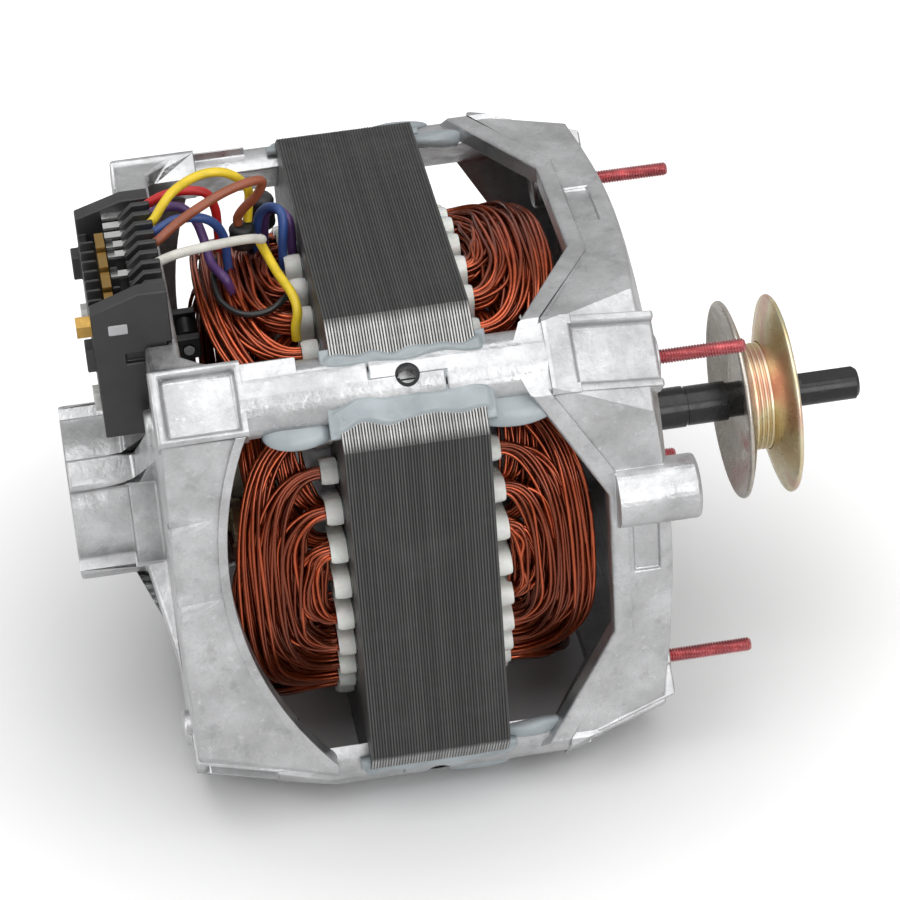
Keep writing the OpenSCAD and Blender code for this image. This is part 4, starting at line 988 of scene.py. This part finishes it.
# Drops of epoxy: the post's angle, the place along the shaft, across the post and out from the axis,
# the half sizes and the seed
LOBES = (
    (135, 28, 10.5, 85.5, (14, 5.5, 2.6), 1),
    (135, -30, 10, 84.5, (9, 4.5, 2.4), 2),
    (225, 26, -9, 86, (9, 4, 2.6), 5),
    (225, 12, 7, 91.5, (10, 4, 2), 6),
    (45, 27, 9, 86, (9, 4, 2.6), 7),
    (45, 16, 2, 92, (9, 5, 2.2), 8),
    (315, -24, 9, 86, (8, 4, 2.4), 9),
)


class MOTOR_OT_epoxy(MotorOperator):
    """Makes the smeared epoxy between the posts and the core"""

    bl_idname = "motor.epoxy"
    bl_label = "Epoxy"
    post_middle = 83.2 * MM
    post_radius = 9.7 * MM
    core_radius = 91.4 * MM
    bare = 3.8 * MM
    wide_reach, narrow_reach = 11.4 * MM, 7.6 * MM
    # Along the shaft from the middle: where a smear ends, and where it starts and stops to run out
    half_length, run_out = 22 * MM, (19.6 * MM, 21.8 * MM)
    # The seam's ring: its hole for the pin, its width along and across the post, and its two depths
    pin_hole, seam_along, seam_across = 3.4 * MM, 7.6 * MM, 1.6 * MM
    seam_top, seam_floor = 0.25 * MM, 1.2 * MM
    smear_seed = 11

    def make(self, sizes, colours):
        material = moulded("cured_epoxy", colours.epoxy, 0.34, 2 * MM, 0.03 * MM, coat_weight=0.25)
        shape = Shape()
        for index, (degrees, wide) in enumerate(zip(CORNERS, (-1, 1, 1, -1))):
            for side in (-1, 1):
                reach = self.wide_reach if side == wide else self.narrow_reach
                seed = self.smear_seed + 2 * index + (side > 0)
                shape.rod(self.smear(math.radians(degrees), side, reach, seed))
            shape.grid(self.seam(math.radians(degrees)), around=True, along=True)
        for place in LOBES:
            shape.rod(self.lobe(*place))
        add_piece(shape.mesh("epoxy_smears"), material, nodes=["epoxy_bonds"])

    def smear(self, corner, side, reach, seed):
        """A skin along one edge of a post: it lies on the higher of the post's and the core's arcs and dips
        under the metal outside its wavy borders."""
        along, away = np.meshgrid(np.linspace(-self.half_length, self.half_length, 90),
                                  np.linspace(self.bare, reach + 2.4 * MM, 30), indexing="ij")
        post = self.post_middle + np.sqrt(np.maximum(self.post_radius ** 2 - away ** 2, 0))
        core = np.sqrt(self.core_radius ** 2 - away ** 2)
        line = np.stack([along, 0.25 * away], axis=-1)
        inner = self.bare + (reach - self.bare) * (0.22 + 0.1 * ripple(line, 17 * MM, seed))
        outer = reach + (reach - self.bare) * 0.13 * ripple(line, 12 * MM, seed + 20)
        cover = soft_step(inner - 0.8 * MM, inner + 0.8 * MM, away) * soft_step(outer + MM, outer - MM, away)
        cover = cover * soft_step(*self.run_out[::-1], np.abs(along))
        thick = (0.85 + 0.25 * ripple(np.stack([along, away], axis=-1), 11 * MM, seed + 40)) * MM
        top = np.maximum(post, core) + thick * cover - 0.6 * MM * (1 - cover)
        out = np.concatenate([top, (core - 3 * MM)[:, ::-1]], axis=1)
        across = side * np.concatenate([away, away[:, ::-1]], axis=1)
        along = np.concatenate([along, along[:, ::-1]], axis=1)
        return off_ray(along, across, out, corner)

    def seam(self, corner):
        """Epoxy in the seam between two posts: a ring round the pin, just under the posts' round surface."""
        turn, step = np.meshgrid(circle(48), np.arange(12), indexing="ij")
        share = np.minimum(step, 11 - step) / 5
        along = (self.pin_hole + self.seam_along * share) * np.cos(turn)
        across = (self.pin_hole + self.seam_across * share) * np.sin(turn)
        under = np.where(step < 6, self.seam_top, self.seam_floor)
        out = self.post_middle + np.sqrt(self.post_radius ** 2 - across ** 2) - under
        return off_ray(along, across, out, corner)

    def lobe(self, corner, along, across, out, sizes, seed):
        """A drop of epoxy: an ellipsoid whose radius swells and shrinks with smooth noise."""
        v, u = globe(rings=22, segments=28, gap=0.05)
        ball = np.stack([np.cos(v), np.sin(v) * np.cos(u), np.sin(v) * np.sin(u)], axis=-1)
        ball = ball * (1 + 0.16 * ripple(ball, 1.9, seed))[..., None]
        drop = ball * np.array(sizes) * MM + np.array([along, across, out]) * MM
        return off_ray(*drop.transpose(2, 0, 1), math.radians(corner))


class MOTOR_OT_studs(MotorOperator):
    """Makes the threaded mounting studs"""

    bl_idname = "motor.studs"
    bl_label = "Mounting studs"
    thread_depth = 0.42 * MM
    hidden = 1.5 * MM
    lead_in, lead_in_slope = 0.9 * MM, 0.7
    rings_per_turn, sides = 8, 22

    def make(self, sizes, colours):
        material = plated("red_dyed_zinc", colours.stud, 0.24, 0.9, shade(colours.stud, 1.5))
        dims = next(mount for mount in frame["record"]["mounts"] if mount["name"] == "studs")["dims"]
        radius, place = dims["stud_r_mm"] * MM, dims["spacing_x_mm"] / 2 * MM
        shape = Shape()
        for y, z in ((place, place), (-place, place), (-place, -place), (place, -place)):
            shape.rod(self.thread(radius, sizes.thread_pitch) + (0, y, z))
        add_piece(shape.mesh("threaded_studs", 50), material, nodes=["mounting_studs"])
        finish_node("roll_pins", plated("pin_oxide", colours.oxide, 0.28, 0.7, shade(colours.oxide, 3)))

    def thread(self, radius, pitch):
        """A thread along the shaft's direction: the radius falls by the thread's depth on a triangle wave
        of the place along the stud less the angle, and at the tip by a chamfer."""
        steps = int((STUD_TIP + self.hidden) / pitch * self.rings_per_turn)
        along = np.linspace(-self.hidden, STUD_TIP, steps)[:, None]
        angle = circle(self.sides)[None]
        phase = (along / pitch - angle / (2 * math.pi)) % 1
        depth = self.thread_depth * np.abs(2 * phase - 1)
        chamfer = np.maximum(along - STUD_TIP + self.lead_in, 0) * self.lead_in_slope
        r = np.minimum(radius - depth, radius - chamfer)
        return about_axis(along, r, angle)


class MOTOR_OT_pulley(MotorOperator):
    """Makes the pulley's pressed flanges and turned barrel"""

    bl_idname = "motor.pulley"
    bl_label = "Pulley"
    sheet = 1.6 * MM
    bore = 5.15 * MM
    fit = 0.05 * MM
    end_round = 0.4 * MM
    groove_depth, groove_width, groove_shifts = 0.4 * MM, 0.3 * MM, (-1.4 * MM, 0, 1.4 * MM)
    faded_tint = (0.44, 0.36, 0.33)
    segments = 144

    def make(self, sizes, colours):
        gold = gold_zinc("gold_zinc", colours.gold_zinc)
        faded = plated("faded_zinc", colours.grey_zinc, 0.3, 0.9, self.faded_tint)
        middle = (BARREL_LOW + BARREL_HIGH)[0] / 2
        root = FLANGE_LOW[0] + self.sheet / 2
        outer = self.flange(BARREL_HIGH[1] + self.fit)
        inner = self.flange(self.bore) * (-1, 1) + (2 * middle, 0)
        for name, profile, material, slot, node in (
                ("outer_flange", outer, gold, "yellow_zinc", "pulley_outer_flange"),
                ("inner_flange", inner, faded, "grey_zinc", "pulley_inner_flange"),
                ("turned_barrel", self.barrel(2 * middle - root), gold, "yellow_zinc", "pulley_barrel")):
            shape = Shape().grid(revolve(profile, self.segments), around=True, along=True)
            add_piece(shape.mesh(name, 40), material, body="rotor", nodes=[node])

    def flange(self, hole):
        """A pressed disc: a sheet of even thickness along a sloping line that flares at the rim, with a
        round edge. A hole narrower than the barrel adds a flat web."""
        rim, root = FLANGE_HIGH[1], BARREL_HIGH[1] + self.fit
        thickness = self.sheet
        near = FLANGE_LOW[0] + thickness / 2
        far = FLANGE_HIGH[0] - thickness / 2
        share = np.linspace(0, 1, 16)
        radius = root + (rim - thickness / 2 - root) * share
        along = near + (far - near) * (0.92 * share + 0.08 * share ** 6)
        web = np.linspace(hole, root, 6)[:-1] if hole < root else np.empty(0)
        radius, along = np.append(web, radius), np.append(np.full(len(web), near), along)
        slope = unit(np.stack([np.gradient(along), np.gradient(radius)], axis=1))
        side = np.stack([slope[:, 1], -slope[:, 0]], axis=1) * thickness / 2
        line = np.stack([along, radius], axis=1)
        turn = np.linspace(0, math.pi, 9)[1:-1, None]
        edge = line[-1] + np.cos(turn) * side[-1] + np.sin(turn) * slope[-1] * thickness / 2
        return np.vstack([line + side, edge, (line - side)[::-1]])

    def barrel(self, low):
        """A turned barrel: a tube with rounded ends and three fine grooves in the floor of the belt's way.
        It starts at low, in the web of the inner flange."""
        outer, bore, high = BARREL_HIGH[1], self.bore, BARREL_HIGH[0]
        middle = (BARREL_LOW[0] + high) / 2
        along = np.linspace(low + self.end_round, high - self.end_round, 120)
        groove = sum(np.exp(-((along - middle - shift) / self.groove_width) ** 2)
                     for shift in self.groove_shifts)
        wall = np.stack([along, outer - self.groove_depth * groove], axis=1)
        edge = outer - self.end_round
        return np.vstack([(low, bore), (low, edge), wall, (high, edge), (high, bore)])


class MOTOR_OT_spring(MotorOperator):
    """Makes the governor's collar spring"""

    bl_idname = "motor.spring"
    bl_label = "Governor spring"
    turns = 3
    wire = 0.9 * MM

    def make(self, sizes, colours):
        """A helix about the shaft: the angle and the place along the shaft grow together."""
        share = np.linspace(0, 1, 30 * self.turns)
        along = SPRING_HIGH[0] - self.wire / 2 - (SPRING_HIGH - SPRING_LOW - self.wire)[0] * share
        radius = SPRING_HIGH[2] - self.wire / 2
        angle = 2 * math.pi * self.turns * share
        path = about_axis(along, radius, angle)
        shape = Shape().rod(tube(path, self.wire / 2, 10, unit(path * (0, 1, 1))))
        material = plated("spring_wire", SPRING_STEEL, 0.3)
        piece = add_piece(shape.mesh("collar_spring"), material, "rotor", ["governor_spring"])
        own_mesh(piece)

    def kept(self, along):
        """The share of the spring's length that is left when the collar has moved in."""
        travel = next(j for j in frame["joints"] if j["name"] == "collar_slide")["range_m"][1]
        return float(1 - travel / (along[0] - along[-1]))


class MOTOR_OT_switch(MotorOperator):
    """Makes the switch housing and its comb with rounded edges, and finishes its metal"""

    bl_idname = "motor.switch"
    bl_label = "Motor switch"
    wall_thickness = 2.4 * MM
    # Barriers: their two sides, how far they are sunk in the deck and end below the contacts' tops, their
    # gaps to the contacts and their length in front of them
    rib_near, rib_far, rib_sunk, rib_below = 1.9 * MM, 0.9 * MM, 0.5 * MM, 2.4 * MM
    rear_gap, front_gap, front_length = 0.3 * MM, 0.2 * MM, 2.2 * MM
    tab_place, tab_size = np.array([6.6, -0.35, 5.4]) * MM, np.array([5.1, 1.2, 2.9]) * MM

    def make(self, sizes, colours):
        plastic = moulded("switch_plastic", colours.plastic, 0.38, 0.5 * MM, 0.02 * MM,
                          specular_ior_level=0.55)
        for node, name in (("switch_base", "switch_housing"), ("switch_comb", "terminal_comb")):
            mesh = crisp_copy(node, name, sizes.plastic_edge)
            round_edges(add_piece(mesh, plastic, nodes=[node]), sizes.plastic_edge)
        brass = plated("brass", colours.brass, 0.32, 0.9, shade(colours.brass, 1.6))
        tin = plated("tinned", colours.tin, 0.25, 0.9)
        finish_node("brass_contacts", brass)
        finish_node("terminal_screw", brass)
        finish_node("spade_terminals", tin)
        finish_node("switch_screws", plated("bright_zinc", BRIGHT_ZINC, 0.28))
        finish_node("switch_rivets", moulded("clear_rivet", CLEAR, 0.2, coat_weight=0.5))
        finish_node("switch_lever", plastic)
        finish_node("lever_pin", plated("pin_steel", STEEL, 0.25))
        self.ribs(plastic)
        self.tab()

    def ribs(self, plastic):
        """Low barriers on both sides of the brass contacts, one between each two of them."""
        wall = SWITCH_LOW[0] + self.wall_thickness
        rear, front = CONTACTS_LOW[0], CONTACTS_HIGH[0] + self.front_gap
        low, high = DECK - self.rib_sunk, CONTACTS_HIGH[2] - self.rib_below
        shape = Shape()
        for y in np.linspace(CONTACTS_LOW[1], CONTACTS_HIGH[1], 8)[1:]:
            for left, right in ((wall, rear - self.rear_gap), (front, front + self.front_length)):
                shape.rod(rounded_box((left, y - self.rib_near, low), (right, y - self.rib_far, high)))
        add_piece(shape.mesh("contact_barriers", 40), plastic)

    def tab(self):
        """A pale moulded tab in the near side of the housing."""
        material = moulded("pale_tab", PALE_GREY, 0.45, 0.6 * MM, 0.03 * MM)
        low = np.array([SWITCH_LOW[0], SWITCH_LOW[1], DECK]) + self.tab_place
        shape = Shape().rod(rounded_box(low, low + self.tab_size))
        add_piece(shape.mesh("switch_tab", 40), material)


class MOTOR_OT_inside(MotorOperator):
    """Finishes the shaft, the rotor, the bearings and the governor"""

    bl_idname = "motor.inside"
    bl_label = "Shaft, rotor and governor"

    def make(self, sizes, colours):
        steel = plated("bright_steel", STEEL, 0.3)
        cast = cast_metal("rotor_aluminium", shade(colours.aluminium, 0.9))
        bronze = plated("sintered_bronze", BRONZE, 0.5, 0.8)
        felt = insulation("oiled_felt", FELT, 0.6)
        phenolic = moulded("phenolic", PHENOLIC, 0.5)
        governor = gold_zinc("governor_zinc", shade(colours.gold_zinc, 0.8))
        finishes = {
            "shaft": plated("black_oxide", colours.oxide, 0.22, 0.2, shade(colours.oxide, 1.6)),
            "rotor_core": plated("turned_rotor", ROTOR_STEEL, 0.4),
            "rear_end_ring": cast, "drive_end_ring": cast, "rear_bearing": bronze, "drive_bearing": bronze,
            "rear_wick": felt, "drive_wick": felt, "rear_retainer": steel, "drive_retainer": steel,
            "rear_thrust_washer": phenolic, "drive_thrust_washer": phenolic, "governor_plate": governor,
            "governor_pins": steel, "governor_weight_upper": governor, "governor_weight_lower": governor,
            "governor_collar": moulded("collar_nylon", NYLON, 0.4),
        }
        for node, material in finishes.items():
            finish_node(node, material)


class MOTOR_PT_panel(bpy.types.Panel):
    """Lists the motor's operators and its sizes"""

    bl_idname = "MOTOR_PT_panel"
    bl_label = "Washing machine motor"
    bl_space_type = "VIEW_3D"
    bl_region_type = "UI"
    bl_category = "Motor"

    def draw(self, context):
        for operator in OPERATORS:
            self.layout.operator(operator.bl_idname)
        for group in (context.scene.motor_sizes, context.scene.motor_colours):
            for name in group.__annotations__:
                self.layout.prop(group, name)


GROUPS = {"motor_sizes": MotorSizes, "motor_colours": MotorColours, "motor_stage": MotorStage}
OPERATORS = (MOTOR_OT_stage, MOTOR_OT_leads, MOTOR_OT_castings, MOTOR_OT_core, MOTOR_OT_windings,
             MOTOR_OT_cuffs, MOTOR_OT_epoxy, MOTOR_OT_studs, MOTOR_OT_pulley, MOTOR_OT_spring,
             MOTOR_OT_switch, MOTOR_OT_inside)
CLASSES = (*GROUPS.values(), *OPERATORS, MOTOR_PT_panel)


def register():
    """Adds the classes and the scene's settings."""
    for made in CLASSES:
        bpy.utils.register_class(made)
    for name, group in GROUPS.items():
        setattr(bpy.types.Scene, name, PointerProperty(type=group))


def unregister():
    """Takes the settings and the classes away again."""
    for name in GROUPS:
        delattr(bpy.types.Scene, name)
    for made in reversed(CLASSES):
        bpy.utils.unregister_class(made)


def main():
    """Registers the add-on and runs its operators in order."""
    register()
    for operator in OPERATORS:
        group, name = operator.bl_idname.split(".")
        getattr(getattr(bpy.ops, group), name)()


if __name__ == "__main__":
    main()
